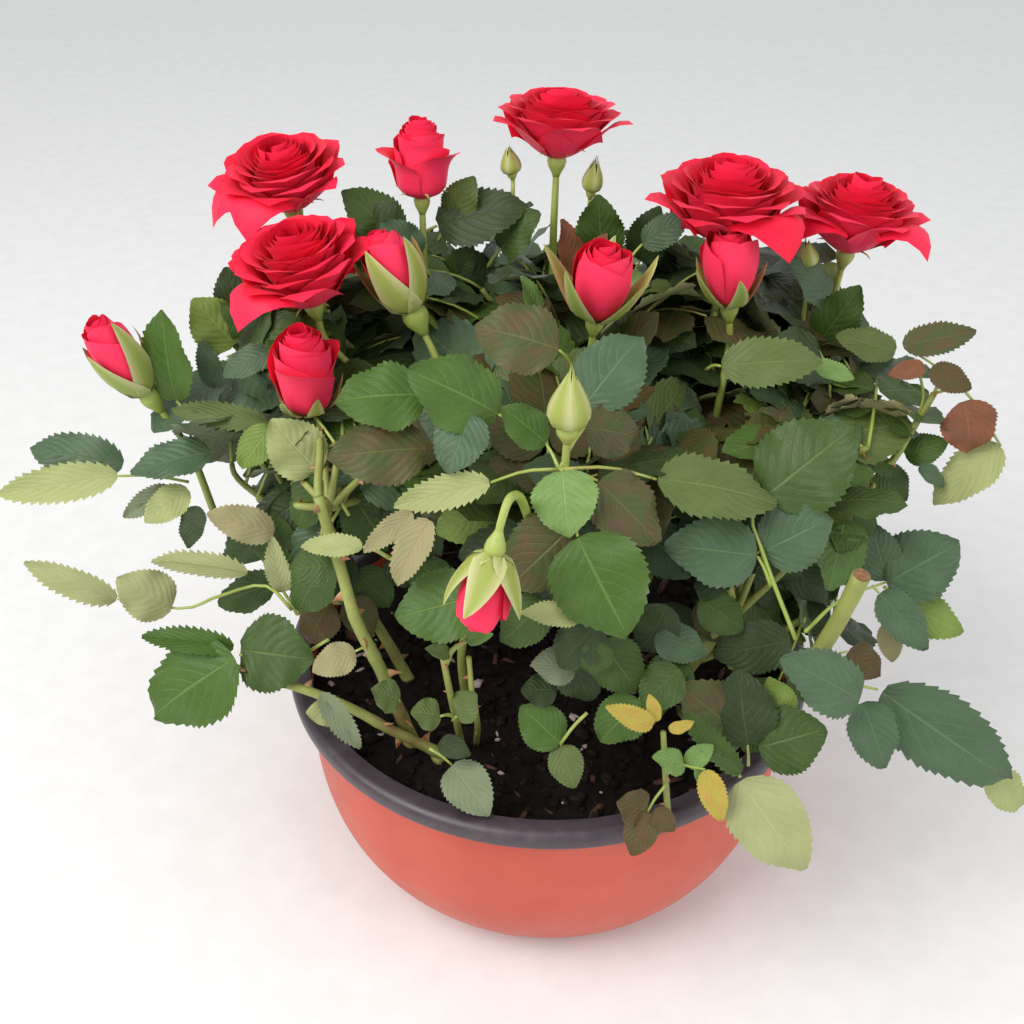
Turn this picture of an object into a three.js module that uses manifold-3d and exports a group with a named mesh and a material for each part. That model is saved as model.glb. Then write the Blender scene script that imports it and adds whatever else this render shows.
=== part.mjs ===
// A patio rose bush in its bowl-shaped pot, as separate solids: the pot, its
// rolled rim, the soil, the canes, the masses of foliage, the sprays that
// stand out of them, and the flower heads with their stalks.
// Millimetres, +Z up, +Y away from the front of the plant. The origin is the
// centre of the pot's flat underside.

import * as THREE from 'three';
import { mergeVertices } from 'three/addons/utils/BufferGeometryUtils.js';
import Module from 'manifold-3d';

const wasm = await Module();
wasm.setup();

// ---- driving dimensions -------------------------------------------------

const GAP = 0.35;                 // clearance between touching pieces
const POT_HEIGHT = 112;           // underside to the top of the rim
const RIM_RADIUS = 120;           // outside of the rolled rim
const RIM_HEIGHT = 8.5;
const RIM_PROUD = 7.5;            // how far the rim stands out from the wall
const WALL = 2.2;
const FOOT_RADIUS = 82;
const FOOT_ROUND = 3;             // small round where wall meets underside
const WALL_SWELL = 3.8;           // higher is a fuller, rounder bowl
const SOIL_LEVEL = 97;            // soil at the wall
const SOIL_CROWN = 3;             // how much higher it is in the middle
const POT_SEGMENTS = 36;
const CANE_RADIUS = 3.3;          // at the soil
const CANE_TIP_RADIUS = 2.2;      // where a cane enters its mass
const STUB_RADIUS = 3.8;
const STALK_RADIUS = 1.9;
const STALK_TIP_RADIUS = 2.3;     // just under the flower
const STALK_ARCH = 0.35;          // share of a stalk that follows its flower's lean
const NODDING_ARCH = 0.16;        // the same, for a flower that hangs
const CANE_SIDES = 6;
const CANE_STEP = 18;             // length of one facet along a cane
const CROWN_ROUGHNESS = 0.075;    // unevenness of a mass, as a share of its size
const BROAD_CLUMP = 30;           // a clump this thick takes the finer mesh
const BLOOM_SIDES = 12;
const BUD_SIDES = 8;

const deg = Math.PI / 180;

// ---- materials ----------------------------------------------------------

function plain(color, roughness) {
  return new THREE.MeshStandardMaterial({ color, roughness, metalness: 0 });
}

const clay = plain(0xc95a45, 0.55);
const rimPlastic = plain(0x5c4c58, 0.45);
const compost = plain(0x2b201b, 0.95);
const bark = plain(0x7d8f46, 0.6);
const greenStem = plain(0x8aa552, 0.55);
const foliage = plain(0x2f5a3a, 0.6);
const petal = plain(0xc4102c, 0.6);

// ---- solids -------------------------------------------------------------

// A closed manifold body from a three.js geometry.
function solidOf(geometry) {
  const bare = geometry.clone();
  bare.deleteAttribute('normal');
  bare.deleteAttribute('uv');
  const merged = mergeVertices(bare, 1e-3);
  return new wasm.Manifold(new wasm.Mesh({
    numProp: 3,
    vertProperties: new Float32Array(merged.attributes.position.array),
    triVerts: new Uint32Array(merged.index.array),
  }));
}

function geometryOf(solid) {
  const mesh = solid.getMesh();
  const geometry = new THREE.BufferGeometry();
  geometry.setAttribute('position', new THREE.BufferAttribute(mesh.vertProperties, 3));
  geometry.setIndex(new THREE.BufferAttribute(mesh.triVerts, 1));
  geometry.computeVertexNormals();
  return geometry;
}

function meshOf(name, geometry, material) {
  const mesh = new THREE.Mesh(geometry, material);
  mesh.name = name;
  return mesh;
}

// The piece of a cut body that scores best, when a cut leaves several.
function bestPiece(solid, score) {
  const pieces = solid.decompose();
  pieces.sort((a, b) => score(b) - score(a));
  return pieces[0];
}

const largest = (piece) => piece.volume();
const lowest = (piece) => -piece.boundingBox().min[2];
const highest = (piece) => piece.boundingBox().max[2];

// ---- pot ----------------------------------------------------------------

const rimFloor = POT_HEIGHT - RIM_HEIGHT;
const lipRadius = RIM_RADIUS - RIM_PROUD;

// Outside radius of the bowl's wall at a height.
function wallRadius(z) {
  const share = THREE.MathUtils.clamp(z / rimFloor, 0, 1);
  return FOOT_RADIUS + (lipRadius - FOOT_RADIUS) * (1 - (1 - share) ** WALL_SWELL);
}

function heights(from, to, count) {
  return Array.from({ length: count }, (_, i) => from + (to - from) * i / (count - 1));
}

function lathe(points) {
  const profile = points.map(([r, z]) => new THREE.Vector2(r, z));
  return new THREE.LatheGeometry(profile, POT_SEGMENTS).rotateX(90 * deg);
}

function potGeometry() {
  const wallTop = rimFloor - GAP;
  const outside = heights(FOOT_ROUND, wallTop, 7).map((z) => [wallRadius(z), z]);
  const inside = heights(wallTop, 2 * WALL, 6).map((z) => [wallRadius(z) - WALL, z]);
  return lathe([[0, 0], [FOOT_RADIUS - FOOT_ROUND, 0], ...outside, ...inside, [0, 2 * WALL]]);
}

// The rim is a rolled lip: a rounded band, flatter on its inner side.
function rimGeometry() {
  const round = RIM_HEIGHT / 3;
  const inner = lipRadius - WALL;
  const ring = [
    [inner, rimFloor],
    [RIM_RADIUS - round / 2, rimFloor],
    [RIM_RADIUS, rimFloor + round],
    [RIM_RADIUS - round / 3, POT_HEIGHT - round / 2],
    [RIM_RADIUS - round, POT_HEIGHT],
    [inner + round / 2, POT_HEIGHT],
    [inner - round / 3, POT_HEIGHT - round],
    [inner, rimFloor],
  ];
  return lathe(ring);
}

// Soil fills the bowl and rises a little towards the canes.
function soilGeometry() {
  const floor = 2 * WALL + GAP;
  const side = heights(floor, SOIL_LEVEL, 6).map((z) => [wallRadius(z) - WALL - 3 * GAP, z]);
  const top = [0.66, 0.33].map((share) => [
    share * wallRadius(SOIL_LEVEL),
    SOIL_LEVEL + SOIL_CROWN * (1 - share ** 2),
  ]);
  return lathe([[0, floor], ...side, ...top, [0, SOIL_LEVEL + SOIL_CROWN]]);
}

// ---- foliage ------------------------------------------------------------

// A smooth, repeatable unevenness over directions, different for each seed.
function unevenness(direction, seed) {
  const { x, y, z } = direction;
  const broad = Math.sin(3.1 * x + 1.7 * seed) + Math.sin(2.7 * y + 2.3 * seed);
  const fine = Math.sin(4.3 * z + 3.9 * x + seed) * Math.sin(4.7 * y + 0.6 * seed);
  return (0.55 * broad + fine) / 1.6;
}

// One mass or spray: a lumpy ellipsoid, long way out along its bearing.
// grow swells it by a few tenths of a millimetre, for cutting its neighbours.
function clump(shape, seed, grow) {
  const fineness = Math.min(...shape.half) > BROAD_CLUMP ? 2 : 1;
  const geometry = new THREE.IcosahedronGeometry(1, fineness);
  const position = geometry.attributes.position;
  const size = new THREE.Vector3(...shape.half);
  const point = new THREE.Vector3();
  for (let i = 0; i < position.count; i += 1) {
    point.fromBufferAttribute(position, i).normalize();
    const swell = 1 + CROWN_ROUGHNESS * unevenness(point, seed);
    point.multiplyScalar(swell).multiply(size);
    point.addScaledVector(point.clone().normalize(), grow);
    position.setXYZ(i, point.x, point.y, point.z);
  }
  geometry.rotateY((shape.dip ?? 0) * deg);
  geometry.rotateZ((shape.bearing ?? 0) * deg);
  geometry.translate(...shape.at);
  return solidOf(geometry);
}

// Where a bearing (0 is to the right, -90 is to the front) and a reach lead.
function around(bearing, reach, z) {
  return [reach * Math.cos(bearing * deg), reach * Math.sin(bearing * deg), z];
}

// half sizes run out along the bearing, across it, and up
const MASSES = {
  mass_centre: { at: [10, -20, 200], half: [60, 62, 48] },
  mass_centre_back: { at: [0, 62, 239], half: [76, 50, 54] },
  mass_front: { at: [32, -80, 190], half: [40, 27, 34] },
  mass_right_front: { at: around(-31, 92, 192), bearing: -31, half: [44, 46, 46] },
  mass_right: { at: around(4, 122, 210), bearing: 4, half: [42, 50, 54] },
  mass_right_back: { at: around(40, 120, 222), bearing: 40, half: [52, 56, 58] },
  mass_back: { at: around(90, 112, 194), bearing: 90, half: [44, 76, 64] },
  mass_left_back: { at: around(143, 118, 231), bearing: 143, half: [54, 54, 56] },
  mass_left: { at: around(176, 126, 208), bearing: 176, half: [40, 48, 50] },
  mass_left_front: { at: around(195, 92, 204), bearing: 195, half: [46, 44, 48] },
  mass_left_low: { at: around(194, 106, 148), bearing: 194, half: [40, 42, 28] },
  mass_right_low: { at: around(-26, 110, 146), bearing: -26, half: [44, 48, 30] },
};

// thin sprays that stand out past the crown; dip is how far the tip hangs
const SPRAYS = {
  spray_left_high: { at: [-197, -8, 206], bearing: 182, dip: 4, half: [38, 24, 9] },
  spray_left_mid: { at: [-187, -27, 167], bearing: 187, dip: 4, half: [37, 22, 8] },
  spray_left_low: { at: [-136, -66, 149], bearing: 192, dip: 33, half: [38, 27, 12] },
  spray_right_high: { at: [165, 14, 227], bearing: 4, dip: 10, half: [28, 21, 34] },
  spray_right_mid: { at: [153, -30, 176], bearing: -6, dip: 30, half: [30, 24, 14] },
  spray_right_low: { at: [151, -79, 124], bearing: -3, dip: 31, half: [56, 26, 12] },
  spray_front_right: { at: [92, -113, 110], bearing: -48, dip: 38, half: [21, 17, 8] },
  shoot_front: { at: [44, -112, 136], bearing: -68, dip: 20, half: [25, 23, 16] },
};

// ---- flowers ------------------------------------------------------------

// Half-width and height shares of a head from its base to its top.
const OPEN = [[0.14, 0.03], [0.42, 0.24], [0.86, 0.52], [1, 0.7], [0.88, 0.86], [0.45, 0.98]];
const HALF_OPEN = [[0.34, 0.05], [0.78, 0.26], [0.86, 0.5], [1, 0.84], [0.6, 0.98]];
const BUD = [[0.42, 0.06], [0.9, 0.28], [1, 0.46], [0.72, 0.76], [0.3, 0.96]];

// at is the middle of a head; it faces along its bearing, lean off upright
const FLOWERS = {
  bloom_left_back: { form: OPEN, at: [-114, 60, 304], wide: 60, tall: 32, bearing: 235, lean: 26 },
  bloom_left: { form: OPEN, at: [-97, 15, 284], wide: 57, tall: 34, bearing: 215, lean: 30 },
  bloom_top: { form: OPEN, at: [-2, 75, 328], wide: 60, tall: 29, bearing: 70, lean: 10 },
  bloom_right_back: { form: OPEN, at: [70, 50, 306], wide: 66, tall: 29, bearing: 300, lean: 4 },
  bloom_far_right: { form: OPEN, at: [130, 70, 291], wide: 56, tall: 28, bearing: 15, lean: 16 },
  half_open_back: { form: HALF_OPEN, at: [-58, 70, 314], wide: 32, tall: 34, bearing: 90, lean: 4 },
  half_open_left: { form: HALF_OPEN, at: [-99, -10, 256], wide: 29, tall: 38, bearing: 270, lean: 6 },
  bud_right: { form: BUD, at: [73, 30, 288], wide: 25, tall: 40, bearing: 20, lean: 3 },
  bud_centre: { form: BUD, at: [18, 10, 286], wide: 26, tall: 34, bearing: 300, lean: 10 },
  bud_centre_left: { form: BUD, at: [-65, 20, 284], wide: 26, tall: 36, bearing: 165, lean: 25 },
  bud_far_left: { form: BUD, at: [-176, 0, 254], wide: 25, tall: 38, bearing: 185, lean: 26 },
  bud_hanging: { form: BUD, at: [-24, -112, 232], wide: 25, tall: 38, bearing: 262, lean: 168 },
  bud_green: { form: BUD, at: [6, -58, 268], wide: 15, tall: 30, bearing: 0, lean: 2 },
};

function facing({ bearing, lean }) {
  const flat = Math.sin(lean * deg);
  return new THREE.Vector3(flat * Math.cos(bearing * deg), flat * Math.sin(bearing * deg),
    Math.cos(lean * deg));
}

function flowerHead(flower, grow) {
  const sides = flower.form === OPEN ? BLOOM_SIDES : BUD_SIDES;
  const profile = [new THREE.Vector2(0, -grow)];
  for (const [half, up] of flower.form) {
    profile.push(new THREE.Vector2(half * flower.wide / 2 + grow, up * flower.tall));
  }
  profile.push(new THREE.Vector2(0, flower.tall + grow));
  const geometry = new THREE.LatheGeometry(profile, sides);
  geometry.translate(0, -flower.tall / 2, 0);
  const turn = new THREE.Quaternion();
  turn.setFromUnitVectors(new THREE.Vector3(0, 1, 0), facing(flower));
  geometry.applyQuaternion(turn);
  geometry.translate(...flower.at);
  return solidOf(geometry);
}

// ---- canes and stalks ---------------------------------------------------

// A round limb along a smooth curve through its points, drawn in evenly from
// its foot radius to its tip radius.
function limb(points, footRadius, tipRadius) {
  const path = new THREE.CatmullRomCurve3(points);
  const section = new THREE.Shape();
  for (let i = 0; i < CANE_SIDES; i += 1) {
    const angle = 2 * Math.PI * i / CANE_SIDES;
    const x = footRadius * Math.cos(angle);
    const y = footRadius * Math.sin(angle);
    if (i === 0) section.moveTo(x, y);
    else section.lineTo(x, y);
  }
  const steps = Math.max(3, Math.round(path.getLength() / CANE_STEP));
  const geometry = new THREE.ExtrudeGeometry(section, { steps, extrudePath: path });
  const centres = path.getSpacedPoints(steps);
  const position = geometry.attributes.position;
  const point = new THREE.Vector3();
  for (let i = 0; i < position.count; i += 1) {
    point.fromBufferAttribute(position, i);
    const distances = centres.map((centre) => centre.distanceTo(point));
    const step = distances.indexOf(Math.min(...distances));
    const share = THREE.MathUtils.lerp(1, tipRadius / footRadius, step / steps);
    point.sub(centres[step]).multiplyScalar(share).add(centres[step]);
    position.setXYZ(i, point.x, point.y, point.z);
  }
  return solidOf(geometry);
}

// Canes rise from the soil at foot, by way of a bend, into their own mass.
const CANES = {
  cane_left_front: { foot: [-57, -57], by: [[-67, -75, 160], [-79, -71, 195]], into: [-86, -50, 232] },
  cane_left: { foot: [-62, -18], by: [[-84, -12, 140]], into: [-122, 4, 200] },
  cane_left_back: { foot: [-42, 26], by: [[-66, 40, 150]], into: [-92, 70, 225] },
  cane_centre: { foot: [22, -26], by: [[12, -30, 130]], into: [8, -22, 190] },
  cane_centre_back: { foot: [8, 36], by: [[2, 48, 150]], into: [0, 62, 225] },
  cane_back: { foot: [-16, 60], by: [[-14, 84, 128]], into: [-8, 108, 190] },
  cane_right_front: { foot: [46, -38], by: [[62, -50, 140]], into: [80, -54, 190] },
  cane_right: { foot: [64, 2], by: [[92, 0, 148]], into: [120, 6, 205] },
  cane_right_back: { foot: [42, 42], by: [[66, 58, 150]], into: [92, 74, 220] },
  cane_low_left: { foot: [-38, -65], by: [[-62, -70, 116], [-92, -72, 138]], into: [-134, -66, 149] },
  cane_young: { foot: [-34, -44], by: [[-36, -50, 128]], into: [-30, -44, 182] },
};

// A cane that was pruned to a stub, with a flat cut end, on the right.
const STUB = { from: [98, -82, 168], to: [111, -88, 219] };

// A stalk runs from its flower's base down into the foliage below it.
const STALK_FEET = {
  bloom_left_back: [-104, 66, 262],
  bloom_left: [-85, 22, 236],
  bloom_top: [-4, 70, 262],
  bloom_right_back: [74, 54, 250],
  bloom_far_right: [112, 68, 245],
  half_open_back: [-52, 68, 262],
  bud_right: [72, 24, 232],
  bud_centre: [8, 2, 236],
  bud_centre_left: [-48, 22, 246],
  bud_far_left: [-146, -6, 196],
  bud_hanging: [-4, -68, 222],
  bud_green: [4, -52, 226],
};

const at = (point) => new THREE.Vector3(...point);

// ---- assembly -----------------------------------------------------------

const bush = new THREE.Group();
bush.add(meshOf('pot', potGeometry(), clay));
bush.add(meshOf('pot_rim', rimGeometry(), rimPlastic));
bush.add(meshOf('soil', soilGeometry(), compost));

// What is left of a solid once each of the others is taken out of it.
function clearOf(solid, others) {
  return others.reduce((rest, other) => rest.subtract(other), solid);
}

// Each flower head gives way to the ones before it.
const heads = Object.entries(FLOWERS);
const headCutters = heads.map(([, flower]) => flowerHead(flower, GAP));
heads.forEach(([name, flower], index) => {
  const solid = clearOf(flowerHead(flower, 0), headCutters.slice(0, index));
  bush.add(meshOf(name, geometryOf(bestPiece(solid, largest)), petal));
});

// Each clump gives way to the ones before it and to the flower heads.
const clumps = Object.entries({ ...SPRAYS, ...MASSES });
const clumpCutters = clumps.map(([, shape], index) => clump(shape, index, GAP));
clumps.forEach(([name, shape], index) => {
  const others = [...clumpCutters.slice(0, index), ...headCutters];
  const solid = clearOf(clump(shape, index, 0), others);
  bush.add(meshOf(name, geometryOf(bestPiece(solid, largest)), foliage));
});

// Limbs end where they enter a clump, and clear the limbs already placed.
const soilCutter = solidOf(soilGeometry()).translate([0, 0, GAP]);
const limbCutters = [];

function addLimb(name, points, footRadius, tipRadius, keep, material) {
  const others = [soilCutter, ...clumpCutters, ...limbCutters];
  const solid = clearOf(limb(points, footRadius, tipRadius), others);
  limbCutters.push(limb(points, footRadius + GAP, tipRadius + GAP));
  bush.add(meshOf(name, geometryOf(bestPiece(solid, keep)), material));
}

for (const [name, cane] of Object.entries(CANES)) {
  const [x, y] = cane.foot;
  const path = [at([x, y, SOIL_LEVEL - SOIL_CROWN]), ...cane.by.map(at), at(cane.into)];
  addLimb(name, path, CANE_RADIUS, CANE_TIP_RADIUS, lowest, bark);
}

addLimb('pruned_stub', [at(STUB.from), at(STUB.to)], STUB_RADIUS, STUB_RADIUS, highest, greenStem);

for (const [name, foot] of Object.entries(STALK_FEET)) {
  const flower = FLOWERS[name];
  const out = facing(flower);
  const top = at(flower.at).addScaledVector(out, -flower.tall / 2 - GAP);
  const arch = flower.lean > 90 ? NODDING_ARCH : STALK_ARCH;
  const bend = top.clone().addScaledVector(out, -arch * top.distanceTo(at(foot)));
  const path = [top, bend, at(foot)];
  addLimb(`stalk_${name}`, path, STALK_TIP_RADIUS, STALK_RADIUS, highest, greenStem);
}

export default bush;
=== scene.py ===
import math
import random

import bmesh
import bpy
import numpy as np
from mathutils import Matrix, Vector, noise
from mathutils.bvhtree import BVHTree


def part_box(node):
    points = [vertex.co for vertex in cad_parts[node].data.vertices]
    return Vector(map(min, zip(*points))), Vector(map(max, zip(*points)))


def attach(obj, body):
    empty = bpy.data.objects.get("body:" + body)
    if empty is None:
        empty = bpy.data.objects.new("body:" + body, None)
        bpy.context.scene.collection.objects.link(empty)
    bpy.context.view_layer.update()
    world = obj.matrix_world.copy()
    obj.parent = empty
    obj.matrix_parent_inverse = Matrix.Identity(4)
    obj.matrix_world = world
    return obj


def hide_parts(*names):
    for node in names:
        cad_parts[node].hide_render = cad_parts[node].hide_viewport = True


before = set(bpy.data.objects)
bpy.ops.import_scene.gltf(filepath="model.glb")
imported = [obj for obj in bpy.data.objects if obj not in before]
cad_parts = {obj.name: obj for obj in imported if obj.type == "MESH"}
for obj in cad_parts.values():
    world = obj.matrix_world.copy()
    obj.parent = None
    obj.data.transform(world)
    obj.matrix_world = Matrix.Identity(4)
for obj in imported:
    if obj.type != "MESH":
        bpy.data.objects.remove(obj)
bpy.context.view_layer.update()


# ---------------------------------------------------------------------------
# Studio: a pale floor, soft daylight from all round and one broad window-like
# light from the upper left. The camera looks down on the plant from close by.
# ---------------------------------------------------------------------------

def node(tree, kind, **inputs):
    """Adds a node; inputs are its sockets by name, with _ for a space."""
    made = tree.nodes.new(kind)
    for name, value in inputs.items():
        socket = made.inputs[name.replace("_", " ")]
        if isinstance(value, bpy.types.NodeSocket):
            tree.links.new(value, socket)
        else:
            socket.default_value = value
    return made


def shader(name):
    """A new material: its node tree, its Principled shader."""
    material = bpy.data.materials.new(name)
    material.use_nodes = True
    tree = material.node_tree
    return material, tree, tree.nodes["Principled BSDF"]


def ramp(tree, factor, stops):
    """A colour ramp; stops are (place, (r, g, b))."""
    made = node(tree, "ShaderNodeValToRGB", Fac=factor)
    elements = made.color_ramp.elements
    while len(elements) < len(stops):
        elements.new(0.5)
    for element, (place, color) in zip(elements, stops):
        element.position = place
        element.color = (*color, 1)
    return made.outputs["Color"]


FLOOR_SIZE = 4.0
bpy.ops.mesh.primitive_plane_add(size=FLOOR_SIZE)
floor = bpy.context.object
floor.name = "floor"
material, tree, surface = shader("pale_floor")
place = node(tree, "ShaderNodeTexCoord").outputs["Object"]
speck = node(tree, "ShaderNodeTexNoise", Vector=place, Scale=60.0, Detail=3.0)
tint = ramp(tree, speck.outputs["Fac"], [(0.3, (0.80, 0.80, 0.79)), (0.7, (0.84, 0.84, 0.83))])
tree.links.new(tint, surface.inputs["Base Color"])
surface.inputs["Roughness"].default_value = 0.75
floor.data.materials.append(material)

world = bpy.data.worlds.new("soft_daylight")
bpy.context.scene.world = world
world.use_nodes = True
sky = world.node_tree.nodes["Background"]
sky.inputs["Color"].default_value = (0.97, 0.985, 1.0, 1)
sky.inputs["Strength"].default_value = 0.74


def soft_light(name, place, target, size, power, color):
    lamp = bpy.data.lights.new(name, "AREA")
    lamp.size = size
    lamp.energy = power
    lamp.color = color
    holder = bpy.data.objects.new(name, lamp)
    bpy.context.collection.objects.link(holder)
    holder.location = place
    aim = Vector(target) - Vector(place)
    holder.rotation_euler = aim.to_track_quat("-Z", "Y").to_euler()


soft_light("window", (-0.75, -0.55, 1.15), (0, 0, 0.18), 0.9, 14.5, (1.0, 0.985, 0.96))
soft_light("bounce", (1.1, -0.5, 0.7), (0, 0, 0.18), 1.0, 5.0, (0.97, 0.985, 1.0))

EYE = (0.0, -0.4285, 0.4818)
EYE_DOWN = math.radians(35.0)
EYE_TURN = math.radians(2.22)
camera = bpy.data.objects.new("camera", bpy.data.cameras.new("camera"))
bpy.context.collection.objects.link(camera)
camera.location = EYE
camera.rotation_euler = (math.pi / 2 - EYE_DOWN, 0, EYE_TURN)
camera.data.lens = 42.19
camera.data.clip_start = 0.01
bpy.context.scene.camera = camera
bpy.context.scene.view_settings.view_transform = "Standard"


# ---------------------------------------------------------------------------
# Pot: an injection-moulded bowl of terracotta-coloured plastic, thin-walled,
# round-bottomed and flat underneath. It has a faint haze of dust and a few
# specks of soil on it, more towards the foot.
# ---------------------------------------------------------------------------

def as_piece(name, mesh, replaced=(), materials=()):
    """Makes a mesh a finished piece of the plant."""
    piece = bpy.data.objects.new(name, mesh)
    bpy.context.collection.objects.link(piece)
    for material in materials:
        mesh.materials.append(material)
    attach(piece, "root")
    if replaced:
        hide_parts(*replaced)
    return piece


def spun(profile, steps):
    """A bmesh spun from a profile of (radius, height) points."""
    shape = bmesh.new()
    points = [shape.verts.new((r, 0, z)) for r, z in profile]
    edges = [shape.edges.new(pair) for pair in zip(points, points[1:])]
    bmesh.ops.spin(shape, geom=points + edges, cent=(0, 0, 0), axis=(0, 0, 1),
                   angle=2 * math.pi, steps=steps, use_merge=True)
    bmesh.ops.remove_doubles(shape, verts=shape.verts, dist=1e-6)
    bmesh.ops.recalc_face_normals(shape, faces=shape.faces)
    return shape


def smooth_mesh(name, shape, crease=math.radians(40)):
    mesh = bpy.data.meshes.new(name)
    shape.to_mesh(mesh)
    shape.free()
    mesh.shade_smooth()
    mesh.set_sharp_from_angle(angle=crease)
    return mesh


def arc(centre, radius, start, end, count):
    """Points of a round corner, angles in degrees from outwards to up."""
    turns = np.radians(np.linspace(start, end, count))
    return [(centre[0] + radius * math.cos(a), centre[1] + radius * math.sin(a)) for a in turns]


rim_low, rim_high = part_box("pot_rim")
soil_low, soil_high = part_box("soil")
RIM_RADIUS = rim_high.x
WALL = 0.0022
WALL_TOP = rim_low.z - 0.0003
LIP_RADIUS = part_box("pot")[1].x
FOOT_RADIUS = 0.082
FOOT_ROUND = 0.004
SWELL = 3.8


def wall_radius(z):
    share = min(max(z / WALL_TOP, 0), 1)
    return FOOT_RADIUS + (LIP_RADIUS - FOOT_RADIUS) * (1 - (1 - share) ** SWELL)


outer_foot = wall_radius(FOOT_ROUND)
profile = [(0, 0), (0.5 * FOOT_RADIUS, 0)]
profile += arc((outer_foot - FOOT_ROUND, FOOT_ROUND), FOOT_ROUND, -90, 0, 6)
profile += [(wall_radius(z), z) for z in np.linspace(FOOT_ROUND, WALL_TOP, 30)[1:]]
profile += [(wall_radius(z) - WALL, z) for z in np.linspace(WALL_TOP, 2 * WALL, 24)]
profile += [(0, 2 * WALL)]
pot_mesh = smooth_mesh("pot_bowl", spun(profile, 144))

material, tree, surface = shader("terracotta_plastic")
place = node(tree, "ShaderNodeTexCoord").outputs["Object"]
height = node(tree, "ShaderNodeSeparateXYZ", Vector=place).outputs["Z"]
cloud = node(tree, "ShaderNodeTexNoise", Vector=place, Scale=14.0, Detail=4.0, Roughness=0.6)
clay = ramp(tree, cloud.outputs["Fac"], [
    (0.30, (0.50, 0.066, 0.036)), (0.52, (0.56, 0.078, 0.043)), (0.72, (0.60, 0.100, 0.062))])
low_share = node(tree, "ShaderNodeMapRange", Value=height, From_Min=0.045, From_Max=0.0,
                 To_Min=0.0, To_Max=0.5).outputs["Result"]
dust_noise = node(tree, "ShaderNodeTexNoise", Vector=place, Scale=38.0, Detail=6.0)
dust = node(tree, "ShaderNodeMath", Value=dust_noise.outputs["Fac"])
dust.operation = "MULTIPLY"
tree.links.new(low_share, dust.inputs[1])
dusty = node(tree, "ShaderNodeMix")
dusty.data_type = "RGBA"
tree.links.new(dust.outputs[0], dusty.inputs["Factor"])
tree.links.new(clay, dusty.inputs[6])
dusty.inputs[7].default_value = (0.30, 0.12, 0.08, 1)
speck_cells = node(tree, "ShaderNodeTexVoronoi", Vector=place, Scale=95.0)
speck_pick = node(tree, "ShaderNodeMapRange", Value=speck_cells.outputs["Distance"],
                  From_Min=0.10, From_Max=0.055, To_Min=0.0, To_Max=1.0).outputs["Result"]
speck_where = node(tree, "ShaderNodeTexNoise", Vector=place, Scale=22.0, Detail=2.0)
speck_gate = node(tree, "ShaderNodeMapRange", Value=speck_where.outputs["Fac"],
                  From_Min=0.60, From_Max=0.66, To_Min=0.0, To_Max=0.8).outputs["Result"]
specks = node(tree, "ShaderNodeMath", Value=speck_pick)
specks.operation = "MULTIPLY"
tree.links.new(speck_gate, specks.inputs[1])
speckled = node(tree, "ShaderNodeMix")
speckled.data_type = "RGBA"
tree.links.new(specks.outputs[0], speckled.inputs["Factor"])
tree.links.new(dusty.outputs[2], speckled.inputs[6])
speckled.inputs[7].default_value = (0.055, 0.035, 0.028, 1)
tree.links.new(speckled.outputs[2], surface.inputs["Base Color"])
gloss = node(tree, "ShaderNodeMapRange", Value=dust_noise.outputs["Fac"], From_Min=0.3,
             From_Max=0.7, To_Min=0.36, To_Max=0.52).outputs["Result"]
tree.links.new(gloss, surface.inputs["Roughness"])
peel = node(tree, "ShaderNodeTexNoise", Vector=place, Scale=420.0, Detail=2.0)
bump = node(tree, "ShaderNodeBump", Height=peel.outputs["Fac"], Strength=0.10, Distance=0.0006)
tree.links.new(bump.outputs["Normal"], surface.inputs["Normal"])
as_piece("pot_bowl", pot_mesh, ["pot"], [material])


# ---------------------------------------------------------------------------
# Rim: a dark grey-purple rolled lip round the top of the bowl, in the same
# plastic, satin and a little scuffed where it has been handled.
# ---------------------------------------------------------------------------

lip = rim_high.z - rim_low.z
inner = LIP_RADIUS - WALL
rim_profile = [(inner, rim_low.z)]
rim_profile += arc((RIM_RADIUS - 0.30 * lip, rim_low.z + 0.30 * lip), 0.30 * lip, -90, 0, 6)
rim_profile += arc((RIM_RADIUS - 0.46 * lip, rim_high.z - 0.46 * lip), 0.46 * lip, 0, 90, 9)
rim_profile += arc((inner + 0.18 * lip, rim_high.z - 0.18 * lip), 0.18 * lip, 90, 180, 5)
rim_profile += [(inner, rim_low.z)]
rim_mesh = smooth_mesh("pot_lip", spun(rim_profile, 160))

material, tree, surface = shader("dark_rim_plastic")
place = node(tree, "ShaderNodeTexCoord").outputs["Object"]
scuff = node(tree, "ShaderNodeTexNoise", Vector=place, Scale=55.0, Detail=6.0, Roughness=0.65)
tone = ramp(tree, scuff.outputs["Fac"], [
    (0.30, (0.040, 0.027, 0.034)), (0.55, (0.060, 0.042, 0.052)), (0.78, (0.110, 0.084, 0.094))])
tree.links.new(tone, surface.inputs["Base Color"])
gloss = node(tree, "ShaderNodeMapRange", Value=scuff.outputs["Fac"], From_Min=0.3,
             From_Max=0.7, To_Min=0.30, To_Max=0.48).outputs["Result"]
tree.links.new(gloss, surface.inputs["Roughness"])
bump = node(tree, "ShaderNodeBump", Height=scuff.outputs["Fac"], Strength=0.12, Distance=0.0005)
tree.links.new(bump.outputs["Normal"], surface.inputs["Normal"])
as_piece("pot_lip", rim_mesh, ["pot_rim"], [material])


# ---------------------------------------------------------------------------
# Soil: dark, moist peat compost a finger's width below the rim. The surface is
# crumbly, with loose crumbs, chips of bark and a few pale grains on it.
# ---------------------------------------------------------------------------

SOIL_RADIUS = wall_radius(soil_low.z + 0.9 * (soil_high.z - soil_low.z)) - WALL - 0.0004
SOIL_LEVEL = soil_high.z - 0.004
SOIL_CROWN = 0.003
SOIL_RINGS = 46


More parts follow.
